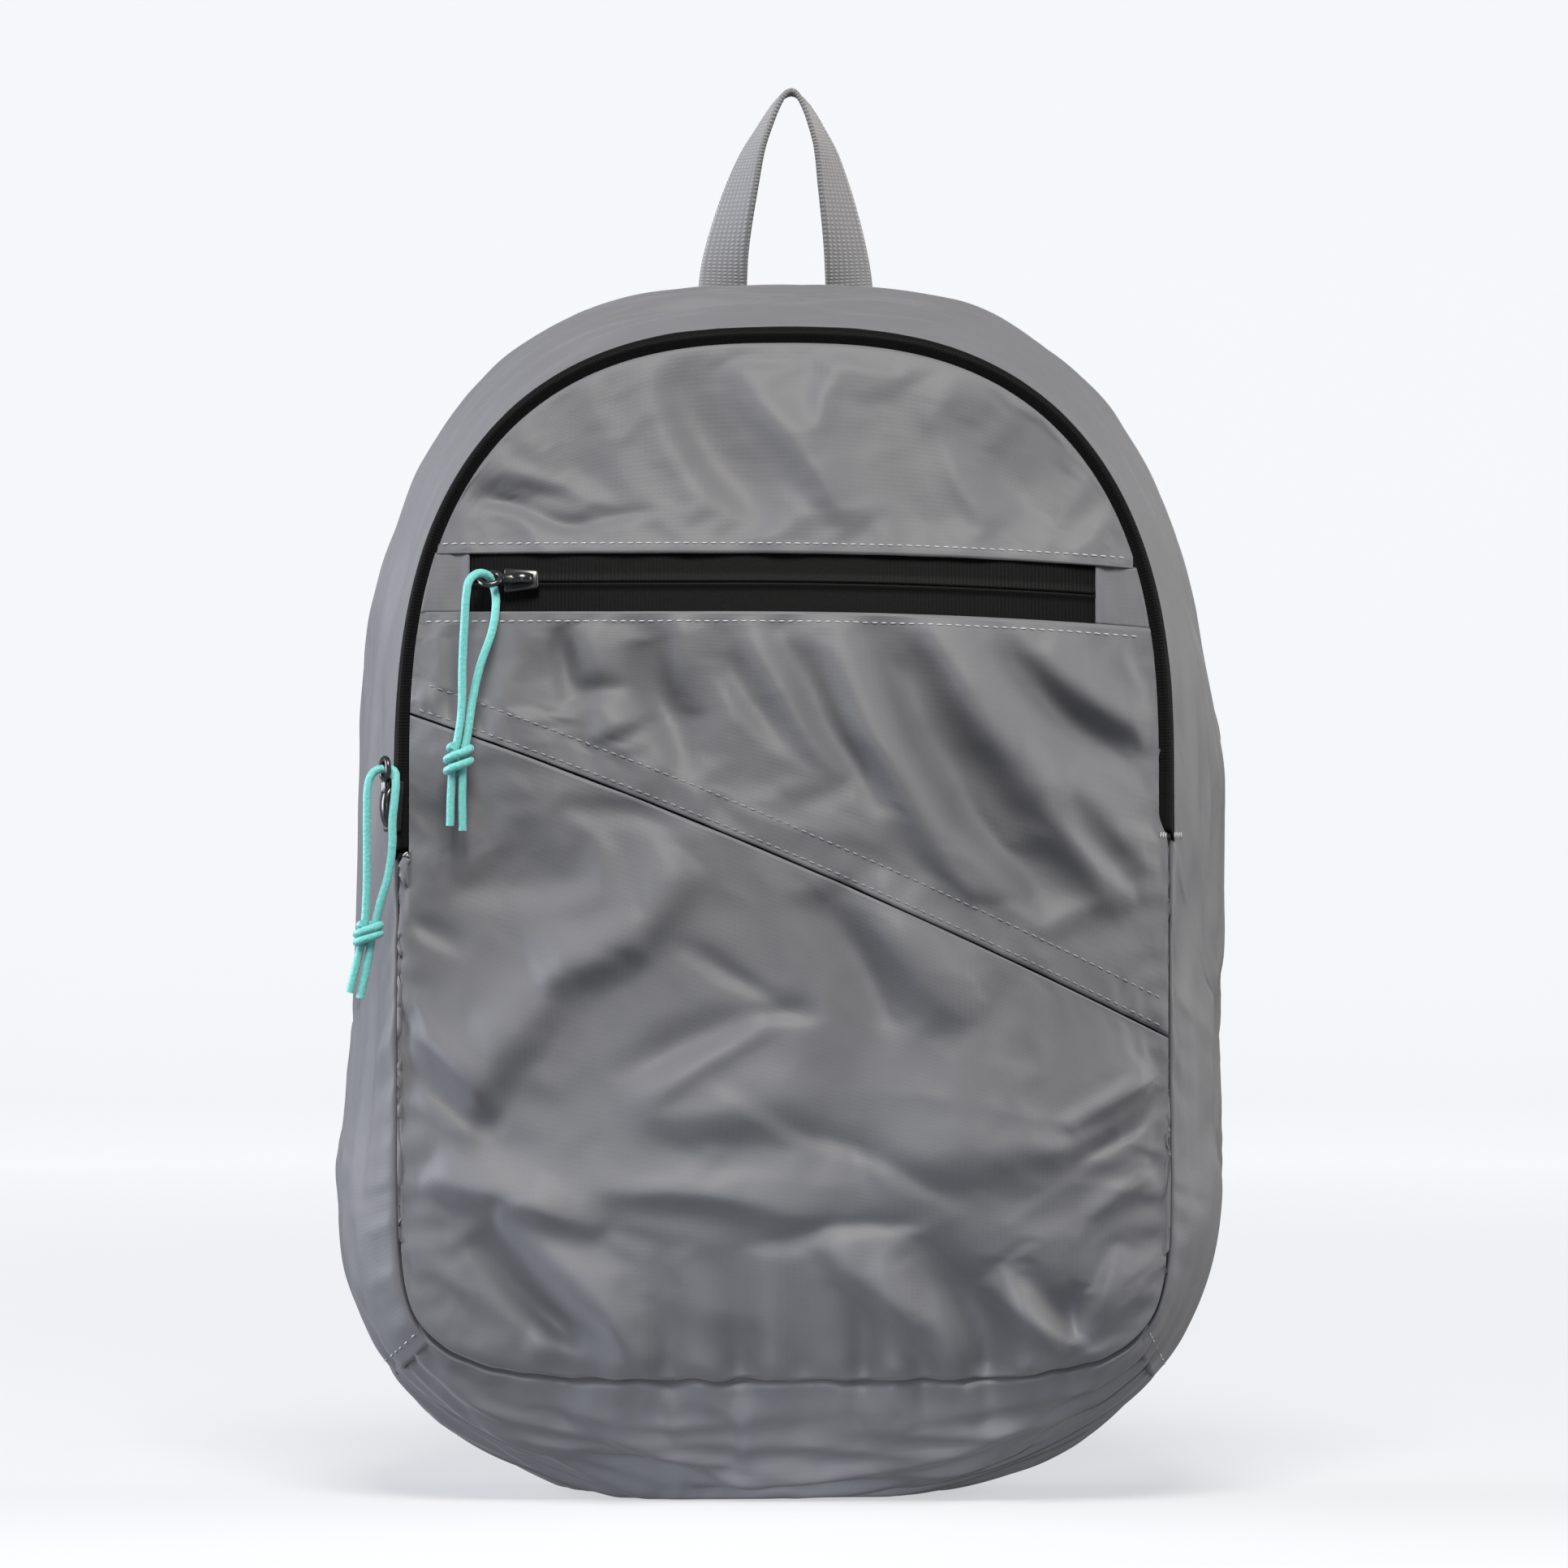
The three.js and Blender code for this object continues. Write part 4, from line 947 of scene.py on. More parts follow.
def bottom_cloth(u, v):
    share, end = between_hems(u, BOTTOM_GRID[0])
    spot = lerp(-(3 - CORNER_PLACE), 3 - CORNER_PLACE, share) + CORNER_LAP * end
    place = 3 + spot if spot < 0 else -(3 - spot)
    down, hem = between_hems(v, BOTTOM_GRID[1])
    point, out = band_face(place, down)
    held = clamp(down / HELD_EDGE) * clamp((1 - down) / HELD_EDGE)
    held *= 1 - 0.5 * (2 * share - 1) ** 2
    sharp = 1 - 2 * abs(ripple(share * BOTTOM_CREASES["along"], down * BOTTOM_CREASES["down"], 43.0))
    rolled = ripple(share * BOTTOM_ROLLS["along"], down * BOTTOM_ROLLS["down"], 47.0)
    ripples = sharp * BOTTOM_CREASES["rise"] + rolled * BOTTOM_ROLLS["rise"] - BOTTOM_CREASES["sink"]
    for _, start, finish_at, first, middle, last, width, rise in SWEEPS:
        along = (share - start) / (finish_at - start)
        if 0 < along < 1:
            line = first * (1 - along) * (1 - 2 * along) + middle * 4 * along * (1 - along)
            line += last * along * (2 * along - 1)
            off = (down - line) / width
            ripples += rise * math.sin(math.pi * along) ** 0.5 * math.exp(-(off**2) * (3 if off > 0 else 0.8))
    point = point + out * (held * ripples - CORNER_SINK * abs(end))
    x = point.x
    for at, width, depth, _ in SEAM_GATHERS:
        drawn_in = clamp(0.5 + GATHER_GAIN * down) * math.exp(-down / GATHER_FALL)
        point.y += GATHER_DEPTH * depth * drawn_in * math.exp(-(((x - at) / width) ** 2))
    for _, at, width, rise, reach in PLEATS:
        fallen = down / reach
        if fallen < 1:
            aside = (x - at - PLEAT_DRIFT * fallen) / width
            point += out * rise * math.sin(math.pi * (0.25 + 0.75 * fallen)) * math.exp(-(aside**2))
    point.z += seam_wander(x) * math.exp(-down / WANDER_FALL)
    point.z = max(FLOOR_GAP, point.z)
    return turned_in(point, hem) if hem else point


gusset = cloth_panel("side_gusset_cloth", *GUSSET_GRID, gusset_cloth, nylon, (0.86, 0.13))
bottom = cloth_panel("bottom_cloth", *BOTTOM_GRID, bottom_cloth, nylon, (0.25, 0.13))

# Back panel
# A plain panel of slightly heavier taffeta behind, gently crowned and sewn into the gusset all round. The
# straps and the handle are caught in its top seam.
BACK_CROWN = 6
BACK_CRUMPLE = 0.8
BACK_THREAD = 0.0011
BACK_MOTTLE = 0.05

back_nylon, tree, shader, where = finish("heavy grey taffeta", "#797a7e", 0.55, Sheen_Weight=0.15)
# Heavier plain weave: duller than the front, with threads that are drawn 1.1 mm apart so that they show.
on_cut = [("Vector", where, "UV")]
warp, weft = (
    node(tree, "ShaderNodeTexWave", on_cut, bands_direction=way, scale=WAVE_LENGTH / BACK_THREAD)
    for way in "XY"
)
weave = node(tree, "ShaderNodeMath", [(0, warp, "Fac"), (1, weft, "Fac")], operation="MULTIPLY")
mottle = node(tree, "ShaderNodeTexNoise", [("Vector", where, "Object")], scale=1 / BACK_MOTTLE, detail=3)
tone = node(tree, "ShaderNodeMix", [(0, mottle, "Fac")], data_type="RGBA")
tone.inputs[6].default_value = linear("#727377")
tone.inputs[7].default_value = linear("#808185")
tree.links.new(tone.outputs[2], shader.inputs["Base Color"])
threads = node(tree, "ShaderNodeBump", [("Height", weave, 0)], strength=0.3, distance=0.0003)
tree.links.new(threads.outputs[0], shader.inputs["Normal"])


def back_y(x, z):
    middle = (BACK_SEAM["top"] + BACK_SEAM["bottom"]) / 2
    aside = clamp(abs(x) / BACK_SEAM["half_width"])
    away = clamp(abs(z - middle) / (BACK_SEAM["top"] - middle))
    crown = BACK_CROWN * (1 - aside**2) * (1 - away**2)
    return BACK_DEPTH - BACK_LEAN * (z / BACK_SEAM["top"]) ** 2 + crown


def back_cloth(u, v):
    x = (BACK_SEAM["half_width"] - SEAM_INSET) * (1 - 2 * ease_ends(u))
    lower = edge_height(BACK_SEAM, x, SEAM_INSET, False)
    z = lerp(lower, edge_height(BACK_SEAM, x, SEAM_INSET, True), v)
    return Vector((x, back_y(x, z) + BACK_CRUMPLE * crumple(x, z, 51.0), z))


back = cloth_panel("back_cloth", 72, 84, back_cloth, back_nylon, (0.252, 0.35))

# Cloth at rest
# All the panels settle together: each is held along its seams, is cut a little larger than its frame, and is
# pressed from behind by what is packed, so that its spare cloth buckles along the folds that are there.
SETTLE_FRAMES = 24
MOST_MOVE = 2.5 * MM

# Piece, spare share, press from behind, cut width and length and area in metres, and the solid it stands for
CLOTHS = [
    (lower_panel, -0.009, 0.1, (0.25, 0.215), 0.038, "front_panel_lower"),
    (middle_panel, -0.01, 0.1, (0.24, 0.14), 0.02, "front_panel_middle"),
    (upper_panel, -0.009, 0.1, (0.23, 0.072), 0.012, "front_panel_upper"),
    (gusset, -0.004, 0.0, (0.88, 0.12), 0.094, "side_gusset"),
    (bottom, -0.006, 0.0, (0.26, 0.15), 0.035, "bottom_panel"),
    (back, -0.012, 0.1, (0.255, 0.355), 0.082, "back_panel"),
]

for cloth, spare, press, _, _, _ in CLOTHS:
    held = cloth.vertex_groups.new(name="sewn seam")
    edges = bmesh.new()
    edges.from_mesh(cloth.data)
    rim = {vert for vert in edges.verts if vert.is_boundary}
    for _ in range(HEM_ROWS if cloth in (gusset, bottom) else 1):
        rim |= {edge.other_vert(vert) for vert in rim for edge in vert.link_edges}
    sewn = sorted(vert.index for vert in rim)
    edges.free()
    held.add(sewn, 1.0, "REPLACE")
    settle = cloth.modifiers.new("settle", "CLOTH")
    settle.settings.vertex_group_mass = "sewn seam"
    settle.settings.quality = 6
    settle.settings.mass = 0.05
    settle.settings.tension_stiffness = 20
    settle.settings.compression_stiffness = 20
    settle.settings.shear_stiffness = 12
    settle.settings.bending_stiffness = 0.3
    settle.settings.air_damping = 2
    settle.settings.shrink_min = spare
    settle.settings.use_pressure = press > 0
    settle.settings.uniform_pressure_force = press
    settle.settings.effector_weights.gravity = 0 if cloth in (bottom, gusset) else 0.1
    settle.collision_settings.use_collision = False
    settle.point_cache.frame_end = SETTLE_FRAMES
for step in range(1, SETTLE_FRAMES + 1):
    bpy.context.scene.frame_set(step)
shapes = bpy.context.evaluated_depsgraph_get()
for cloth, *_ in CLOTHS:
    settled = [vert.co.copy() for vert in cloth.evaluated_get(shapes).data.vertices]
    cloth.modifiers.clear()
    cloth.vertex_groups.clear()
    for vert, new in zip(cloth.data.vertices, settled):
        move = new - vert.co
        vert.co = vert.co + move * min(1, MOST_MOVE / max(move.length, 1e-9))
        vert.co.z = max(vert.co.z, FLOOR_GAP * MM)
bpy.context.scene.frame_set(1)

for cloth, _, _, cut, area, solid in CLOTHS:
    smooth = cloth.modifiers.new("smooth", "SUBSURF")
    smooth.levels = smooth.render_levels = 1
    wall = cloth.modifiers.new("wall", "SOLIDIFY")
    wall.thickness = CLOTH_WALL
    wall.offset = -1
    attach(cloth, "root")
    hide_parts(solid)

# Pocket zip
# A coil zip on wide black tape with a rubbery film, sewn behind the edges of the opening, and a tab of
# taffeta folded over each of its ends.
TAPE_WALL = 0.0008
TAPE_SET_BACK = 0.5
COIL_PITCH = 0.0012
FILM_GRAIN = 0.0012

zip_film, tree, shader, where = finish("black coated zip tape", "#050506", 0.6, Specular_IOR_Level=0.08)
# Polyurethane film on woven tape: near black with a dull shine, and faint cross ribs where the coil presses
# through. The ribs, 1.2 mm apart on such a coil, are drawn at that size.
on_cut = [("Vector", where, "UV")]
ribs = node(tree, "ShaderNodeTexWave", on_cut, bands_direction="X", scale=WAVE_LENGTH / COIL_PITCH)
grain = node(tree, "ShaderNodeTexNoise", [("Vector", where, "Object")], scale=1 / FILM_GRAIN, detail=3)
wear = node(tree, "ShaderNodeMix", [(0, grain, "Fac")], data_type="RGBA")
wear.inputs[6].default_value = linear("#050506")
wear.inputs[7].default_value = linear("#0c0c0d")
tree.links.new(wear.outputs[2], shader.inputs["Base Color"])
pressed = node(tree, "ShaderNodeBump", [("Height", ribs, "Fac")], strength=0.3, distance=0.0002)
over_ribs = [("Height", grain, "Fac"), ("Normal", pressed, 0)]
rubbed = node(tree, "ShaderNodeBump", over_ribs, strength=0.25, distance=0.0003)
tree.links.new(rubbed.outputs[0], shader.inputs["Normal"])


def dress(piece, wall, solids):
    """A wall of this thickness behind the face, and the piece's place among the solids."""
    backed = piece.modifiers.new("wall", "SOLIDIFY")
    backed.thickness = wall
    backed.offset = -1
    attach(piece, "root")
    if solids:
        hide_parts(*solids)


COIL_RIDGE = 0.7
COIL_HALF_WIDTH = 1.6
COIL_GAP = 0.15
UNDER_EDGE = 1.5
UNDER_TAB = 1
tape_edge = POCKET_ZIP["half_width"] + UNDER_EDGE
for name, low, high in (("upper", COIL_GAP, tape_edge), ("lower", -tape_edge, -COIL_GAP)):

    def tape_face(u, v):
        x = lerp(POCKET_ZIP["left"] - UNDER_TAB, POCKET_ZIP["right"] + UNDER_TAB, u)
        off = lerp(low, high, v)
        ridge = COIL_RIDGE * math.exp(-((abs(off) / COIL_HALF_WIDTH) ** 4))
        y = front_y(x, zip_line(x) + off) + TAPE_SET_BACK - ridge
        return Vector((x, y, zip_line(x) + off))

    tape = cloth_panel("pocket_tape_" + name, 98, 14, tape_face, zip_film, (0.2, 0.0105))
    dress(tape, TAPE_WALL, ["pocket_zip_tape_" + name])

TAB_FOLD = 0.6
TAB_CREASE = 0.7
tab_reach = POCKET_ZIP["half_width"] + 0.2
for name, side, edge in (("left", -1, POCKET_ZIP["left"]), ("right", 1, POCKET_ZIP["right"])):

    def tab_face(u, v):
        off = lerp(-1, 1, v) * tab_reach
        outer = side * panel_side(zip_line(edge) + off, side)
        x = lerp(outer, edge, u) if side < 0 else lerp(edge, outer, u)
        z = zip_line(x) + off
        folded = TAB_FOLD * (1 - clamp(abs(x - edge) / 2) ** 2)
        crease = TAB_CREASE * ripple(x / 4, z / 14, 61.0) * clamp(abs(x - edge) / 3)
        return Vector((x, front_y(x, z) - folded - crease, z))

    tab = cloth_panel("pocket_tab_" + name, 16, 18, tab_face, nylon, (0.014, 0.019))
    dress(tab, CLOTH_WALL, ["pocket_zip_tab_" + name])

# Main zip
# A narrow coil zip on the same black tape, along the arch between the front and the gusset. One tape is sewn
# to each of them, the two meet over the coil, and a bar of thread closes each end.
TAPE_ON_FRONT = 5
# How far each tape goes back behind the cloth, where it begins to, and over what width, in mm
INNER_TUCK = dict(depth=1.5, start=1.8, width=2.4)
OUTER_TUCK = dict(depth=2, start=1.8, width=1.5)
UNDER_GUSSET = 1.2


def straight_place(z):
    """The place on the front seam's straight side at a height."""
    return 1 + (FRONT_SEAM["shoulder"] - z) / (FRONT_SEAM["shoulder"] - FRONT_SEAM["hip"])


zip_places = {side: side * straight_place(z) for side, z in MAIN_ZIP_ENDS.items()}


def tucked(tuck, off):
    return tuck["depth"] * clamp((off - tuck["start"]) / tuck["width"])


def inside_seam(place, inset):
    """(x, z) inside the front seam at a place, by an inset square to the seam."""
    x, z = outline_at(FRONT_SEAM, place)
    ahead = outline_at(FRONT_SEAM, place + 0.004)
    behind = outline_at(FRONT_SEAM, place - 0.004)
    along = Vector((ahead[0] - behind[0], ahead[1] - behind[1])).normalized()
    return x + along.y * inset, z - along.x * inset


def inner_tape_face(u, v):
    place = lerp(zip_places[-1], zip_places[1], u)
    inset = lerp(TAPE_ON_FRONT, 0.1, v)
    x, z = inside_seam(place, inset)
    ridge = COIL_RIDGE * math.exp(-((inset / COIL_HALF_WIDTH) ** 4))
    return Vector((x, front_y(x, z) + tucked(INNER_TUCK, inset) - ridge, z))


def outer_tape_face(u, v):
    place = lerp(zip_places[-1], zip_places[1], u)
    reach = lerp(0.1, TAPE_ON_GUSSET + UNDER_GUSSET, v)
    point, out = girth_point(place, reach / girth_width(place))
    ridge = COIL_RIDGE * math.exp(-((reach / COIL_HALF_WIDTH) ** 4))
    return point + Vector((0, -ridge, 0)) - out * tucked(OUTER_TUCK, reach)


for name, face in (("inner", inner_tape_face), ("outer", outer_tape_face)):
    tape = cloth_panel("main_tape_" + name, 240, 10, face, zip_film, (0.6, 0.006))
    dress(tape, TAPE_WALL, ["main_zip_tape_" + name])

# Stitching
# Polyester thread in lockstitch: pale along both sides of the pocket zip, along the corner seams and in a
# dense bar across each end of the main zip, and grey in two rows along the diagonal seam.
STITCH = 2.2
STITCH_STEP = 2.9
THREAD_WIDTH = 0.55
TWIST = 0.0004
# Corner seams: how many stitches, their step as a share across, and how far in from the corner
CORNER_STITCHES = 13
CORNER_STEP = 0.03
CORNER_SET_IN = 0.03
# Bars at the zip's ends: how many stitches, their step, and how far below the end, in mm
BAR_STITCHES = 10
BAR_STEP = 0.75
BAR_BELOW_END = 1.5

thread, tree, shader, where = finish("pale polyester thread", "#9fa0a3", 0.6, Sheen_Weight=0.3)
# Twisted thread: a dull pale line, with its turns about 0.4 mm apart as a light and dark grain.
twist = node(tree, "ShaderNodeTexNoise", [("Vector", where, "Object")], scale=1 / TWIST)
ply = node(tree, "ShaderNodeMix", [(0, twist, "Fac")], data_type="RGBA")
ply.inputs[6].default_value = linear("#8f9093")
ply.inputs[7].default_value = linear("#b1b2b4")
tree.links.new(ply.outputs[2], shader.inputs["Base Color"])

shapes = bpy.context.evaluated_depsgraph_get()
skins = [BVHTree.FromObject(cloth, shapes) for cloth, *_ in CLOTHS]
skins += [BVHTree.FromObject(bpy.data.objects["pocket_tab_" + side], shapes) for side in ("left", "right")]


def on_cloth(start, aim):
    """The first cloth met from a point along a direction, and its normal; both in metres."""
    hits = [skin.ray_cast(start, aim) for skin in skins]
    hits = [hit for hit in hits if hit[0] is not None]
    if not hits:
        return None
    nearest = min(hits, key=lambda hit: hit[3])
    return nearest[0], nearest[1] if nearest[1].dot(aim) < 0 else -nearest[1]


def sew(mesh, spot, normal, along):
    """One stitch, as a small flat bead of thread lying on the cloth."""
    along = (along - normal * along.dot(normal)).normalized()
    turned = Matrix((along, normal.cross(along), normal)).transposed().to_4x4()
    sized = Matrix.Diagonal((STITCH / 2 * MM, THREAD_WIDTH / 2 * MM, THREAD_WIDTH / 2.4 * MM, 1))
    move = Matrix.Translation(spot + normal * 0.12 * MM)
    bmesh.ops.create_uvsphere(mesh, u_segments=6, v_segments=4, radius=1, matrix=move @ turned @ sized)


def stitch_run(mesh, line, start, end):
    """Stitches on the front along z = line(x), from x = start to x = end in mm."""
    x = start
    while x < end:
        slope = (line(x + 1) - line(x - 1)) / 2
        found = on_cloth(Vector((x * MM, -0.2, line(x) * MM)), Vector((0, 1, 0)))
        if found:
            sew(mesh, *found, Vector((1, 0, slope)))
        x += STITCH_STEP / math.hypot(1, slope)


grey_thread = thread.copy()
grey_thread.name = "grey polyester thread"
ply = next(item for item in grey_thread.node_tree.nodes if item.type == "MIX")
ply.inputs[6].default_value = linear("#6d6e71")
ply.inputs[7].default_value = linear("#828386")

seam_rows = bmesh.new()
stitches = bmesh.new()
# Mesh, line that the row follows, its distance above the line, and its ends in x, in mm
STITCH_ROWS = [
    (seam_rows, diagonal_line, 2.4, -113, 118),
    (seam_rows, diagonal_line, 11, -110, 117),
    (stitches, zip_line, 12.2, -106, 106),
    (stitches, zip_line, -12.2, -111, 111),
]
for mesh, line, above, start, end in STITCH_ROWS:
    stitch_run(mesh, lambda x: line(x) + above, start, end)
for side in (-1, 1):
    for i in range(CORNER_STITCHES):
        across = CORNER_STEP + CORNER_STEP * i
        near = girth_point(side * (CORNER_PLACE - CORNER_SET_IN), across)[0]
        far = girth_point(side * (CORNER_PLACE - CORNER_SET_IN), across + 0.02)[0]
        out = girth_point(side * CORNER_PLACE, across)[1]
        found = on_cloth((near + out * 30) * MM, -out)
        if found:
            sew(stitches, *found, far - near)
    x, z = outline_at(FRONT_SEAM, zip_places[side])
    for i in range(BAR_STITCHES):
        aside = (i - (BAR_STITCHES - 1) / 2) * BAR_STEP
        found = on_cloth(Vector((x + aside, -200, z - BAR_BELOW_END)) * MM, Vector((0, 1, 0)))
        if found:
            sew(stitches, *found, Vector((0.15, 0, 1)))
for name, mesh, kind in (
    ("pale_stitching", stitches, thread),
    ("diagonal_stitching", seam_rows, grey_thread),
):
    sewn = link_mesh(name, mesh, kind)
    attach(sewn, "root")

# Zip sliders
# Cast zinc with black enamel: a body that wraps the coil, an arched crown over it, and an eye at its nose
# for the cord.
SLIDER = dict(width=8, height=3, nose=0.72, edge=0.8)
CROWN = dict(rise=3.6, width=3, sunk=0.8, wall=1.1, inset=1.4)
EYE = dict(ring=3.25, wire=0.95, ahead=3.7, lift=2, sides=32)
NECK = dict(long=5, width=2.4, height=2.6, back=1.6, lift=0.8, edge=0.6)
SLIDER_LIFT = 0.6
POCKET_SLIDER_X = -81.5
MAIN_SLIDER_Z = 219.5
pocket_z = zip_line(POCKET_SLIDER_X)
pocket_seat = Vector((POCKET_SLIDER_X, front_y(POCKET_SLIDER_X, pocket_z), pocket_z))
main_seat = girth_point(-straight_place(MAIN_SLIDER_Z), 0)[0]
# Name, length in mm, tilt of the eye, seat, and the ways that its back and its eye face
SLIDERS = [
    ("pocket", 11, 0.7, pocket_seat, (-0.16, -0.95, 0.24), (-1, 0, 0)),
    ("main", 16, -0.52, main_seat, (-0.62, -0.78, 0), (0, 0, 1)),
]
PEEL = 0.0009

enamel, tree, shader, where = finish(
    "black enamelled zinc", "#171718", 0.3, Coat_Weight=0.5, Coat_Roughness=0.12
)
# Stoved enamel over a casting: glossy black with a slight orange peel, and a little grey where it is rubbed.
peel = node(tree, "ShaderNodeTexNoise", [("Vector", where, "Object")], scale=1 / PEEL, detail=2)
rub = node(tree, "ShaderNodeMapRange", [("Value", peel, "Fac")], from_min=0.62, from_max=0.75)
coat = node(tree, "ShaderNodeMix", [(0, rub, 0)], data_type="RGBA")
coat.inputs[6].default_value = linear("#141415")
coat.inputs[7].default_value = linear("#3a3a3c")
tree.links.new(coat.outputs[2], shader.inputs["Base Color"])
skin = node(tree, "ShaderNodeBump", [("Height", peel, "Fac")], strength=0.15, distance=0.0002)
tree.links.new(skin.outputs[0], shader.inputs["Normal"])

for name, long, tilt, seat, out, to_eye in SLIDERS:
    mesh = bmesh.new()
    body = bmesh.ops.create_cube(mesh, size=1)["verts"]
    for vert in body:
        x, y, z = vert.co
        share = SLIDER["nose"] if x < 0 else 1
        vert.co = (x * long, y * SLIDER["width"] * share, (z + 0.5) * SLIDER["height"])
    every = mesh.edges[:]
    bmesh.ops.bevel(
        mesh, geom=every, offset=SLIDER["edge"], segments=3, profile=0.5, affect="EDGES", material=-1
    )
    span = long / 2 - CROWN["inset"]
    bridge = bmesh.ops.create_grid(mesh, x_segments=18, y_segments=2, size=0.5)["verts"]
    for vert in bridge:
        angle = math.pi * (0.5 - vert.co.x)
        rise = SLIDER["height"] - CROWN["sunk"] + CROWN["rise"] * math.sin(angle)
        vert.co = (span * math.cos(angle), vert.co.y * CROWN["width"], rise)
    strip = list({face for vert in bridge for face in vert.link_faces})
    bmesh.ops.solidify(mesh, geom=strip, thickness=CROWN["wall"])
    section = bmesh.ops.create_circle(mesh, segments=12, radius=EYE["wire"])["verts"]
    bmesh.ops.rotate(mesh, verts=section, cent=(0, 0, 0), matrix=Matrix.Rotation(math.pi / 2, 3, "X"))
    bmesh.ops.translate(mesh, verts=section, vec=(EYE["ring"], 0, 0))
    wire = list({edge for vert in section for edge in vert.link_edges})
    before = set(mesh.verts) - set(section)
    bmesh.ops.spin(
        mesh,
        geom=section + wire,
        cent=(0, 0, 0),
        axis=(0, 0, 1),
        angle=2 * math.pi,
        steps=EYE["sides"],
        use_merge=True,
    )
    ring = [vert for vert in mesh.verts if vert not in before]
    bmesh.ops.rotate(mesh, verts=ring, cent=(0, 0, 0), matrix=Matrix.Rotation(tilt, 3, "X"))
    bmesh.ops.translate(mesh, verts=ring, vec=(long / 2 + EYE["ahead"], 0, SLIDER["height"] + EYE["lift"]))
    neck = bmesh.ops.create_cube(mesh, size=1)["verts"]
    for vert in neck:
        x, y, z = vert.co
        high = z * NECK["height"] + SLIDER["height"] + NECK["lift"]
        vert.co = (x * NECK["long"] + long / 2 - NECK["back"], y * NECK["width"], high)
    stem = list({edge for vert in neck for edge in vert.link_edges})
    bmesh.ops.bevel(
        mesh, geom=stem, offset=NECK["edge"], segments=2, profile=0.5, affect="EDGES", material=-1
    )
    bmesh.ops.recalc_face_normals(mesh, faces=mesh.faces)
    outward = Vector(out).normalized()
    across = outward.cross(Vector(to_eye)).normalized()
    turned = Matrix((across.cross(outward), across, outward)).transposed().to_4x4()
    seated = Matrix.Translation(seat + outward * SLIDER_LIFT) @ turned
    bmesh.ops.transform(mesh, matrix=seated, verts=mesh.verts)
    bmesh.ops.scale(mesh, vec=(MM, MM, MM), verts=mesh.verts)
    slider = link_mesh(name + "_slider", mesh, enamel)
    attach(slider, "root")
    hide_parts(name + "_zip_slider")

# Top handle
# One loop of 15 mm woven polyester webbing. Its ends are sewn into the back seam side by side, facing
# forward, and the loop leans to the right and twists half round, so that its top lies across.
HANDLE_WIDTH = 15.4
HANDLE_WALL = 0.0016
HANDLE_CROWN = 0.35
WEB_RIB = 0.0013
WEB_END = 0.0018
HANDLE_Y = 45.1
UNTWISTED = 0.24
TWIST_POWER = 0.75
# Places along the loop, (x, z) in mm
HANDLE_PATH = [
    (-20.5, 366),
    (-20, 382),
    (-18.2, 399),
    (-13, 420),
    (-7.2, 436),
    (2.4, 450),
    (11.2, 436),
    (15.7, 420),
    (19.7, 399),
    (21.5, 382),
    (22, 366),
]

webbing, tree, shader, where = finish("grey polyester webbing", "#68696c", 0.65, Sheen_Weight=0.25)
# Plain woven webbing: rows of small ribs across it, about 1.3 mm apart, crossed by warp ends that are about
# 0.9 mm apart and are drawn 1.8 mm apart so that they show. Its colour is darker where the weave is low, as
# painted shade in the grooves.
on_cut = [("Vector", where, "UV")]
ribs, ends = (
    node(tree, "ShaderNodeTexWave", on_cut, bands_direction=way, scale=WAVE_LENGTH / apart)
    for way, apart in (("X", WEB_RIB), ("Y", WEB_END))
)
woven = node(tree, "ShaderNodeMath", [(0, ribs, "Fac"), (1, ends, "Fac")], operation="MULTIPLY")
# painted shade: the colour follows the weave's height, darker in its grooves
tone = node(tree, "ShaderNodeMix", [(0, woven, 0)], data_type="RGBA")
tone.inputs[6].default_value = linear("#595a5e")
tone.inputs[7].default_value = linear("#76777a")
tree.links.new(tone.outputs[2], shader.inputs["Base Color"])
relief = node(tree, "ShaderNodeBump", [("Height", woven, 0)], strength=0.6, distance=0.0004)
tree.links.new(relief.outputs[0], shader.inputs["Normal"])


def through(points, share):
    """A smooth line through the points, at a share of their count."""
    run = clamp(share) * (len(points) - 1)
    i = min(int(run), len(points) - 2)
    f = run - i
    near, far = points[i], points[i + 1]
    before = points[i - 1] if i > 0 else near * 2 - far
    after = points[i + 2] if i + 2 < len(points) else far * 2 - near
    bend = (before * -1 + near * 3 - far * 3 + after) * f**3
    bend += (before * 2 - near * 5 + far * 4 - after) * f**2
    return near + (bend + (far - before) * f) / 2


loop = [Vector((x, HANDLE_Y, z)) for x, z in HANDLE_PATH]


def handle_face(u, v):
    climbed = 1 - abs(2 * u - 1)
    twist = clamp((climbed - UNTWISTED) / (1 - UNTWISTED)) ** TWIST_POWER
    turn = math.pi / 2 * (twist if u < 0.5 else 2 - twist)
    half = Vector((math.cos(turn), -math.sin(turn), 0)) * HANDLE_WIDTH / 2
    crown = HANDLE_CROWN * (1 - abs(2 * v - 1) ** 6)
    return through(loop, u) + half * (2 * v - 1) + Vector((math.sin(turn), math.cos(turn), 0)) * -crown


handle = cloth_panel("top_handle_webbing", 96, 10, handle_face, webbing, (0.2, 0.015))
dress(handle, HANDLE_WALL, ["top_handle"])

# Shoulder straps
# Foam a few millimetres thick between two layers of dark grey spacer mesh, bound along the edges. Each strap
# is caught in the top of the back, stands off it in a shallow bow, and narrows down to its buckle.
STRAP_WALL = 4
STRAP_PUFF = 1.5
# Sewn channel: depth in mm, and its place and width as shares of half the strap's width
CHANNEL = dict(depth=0.8, at=0.62, width=0.09)
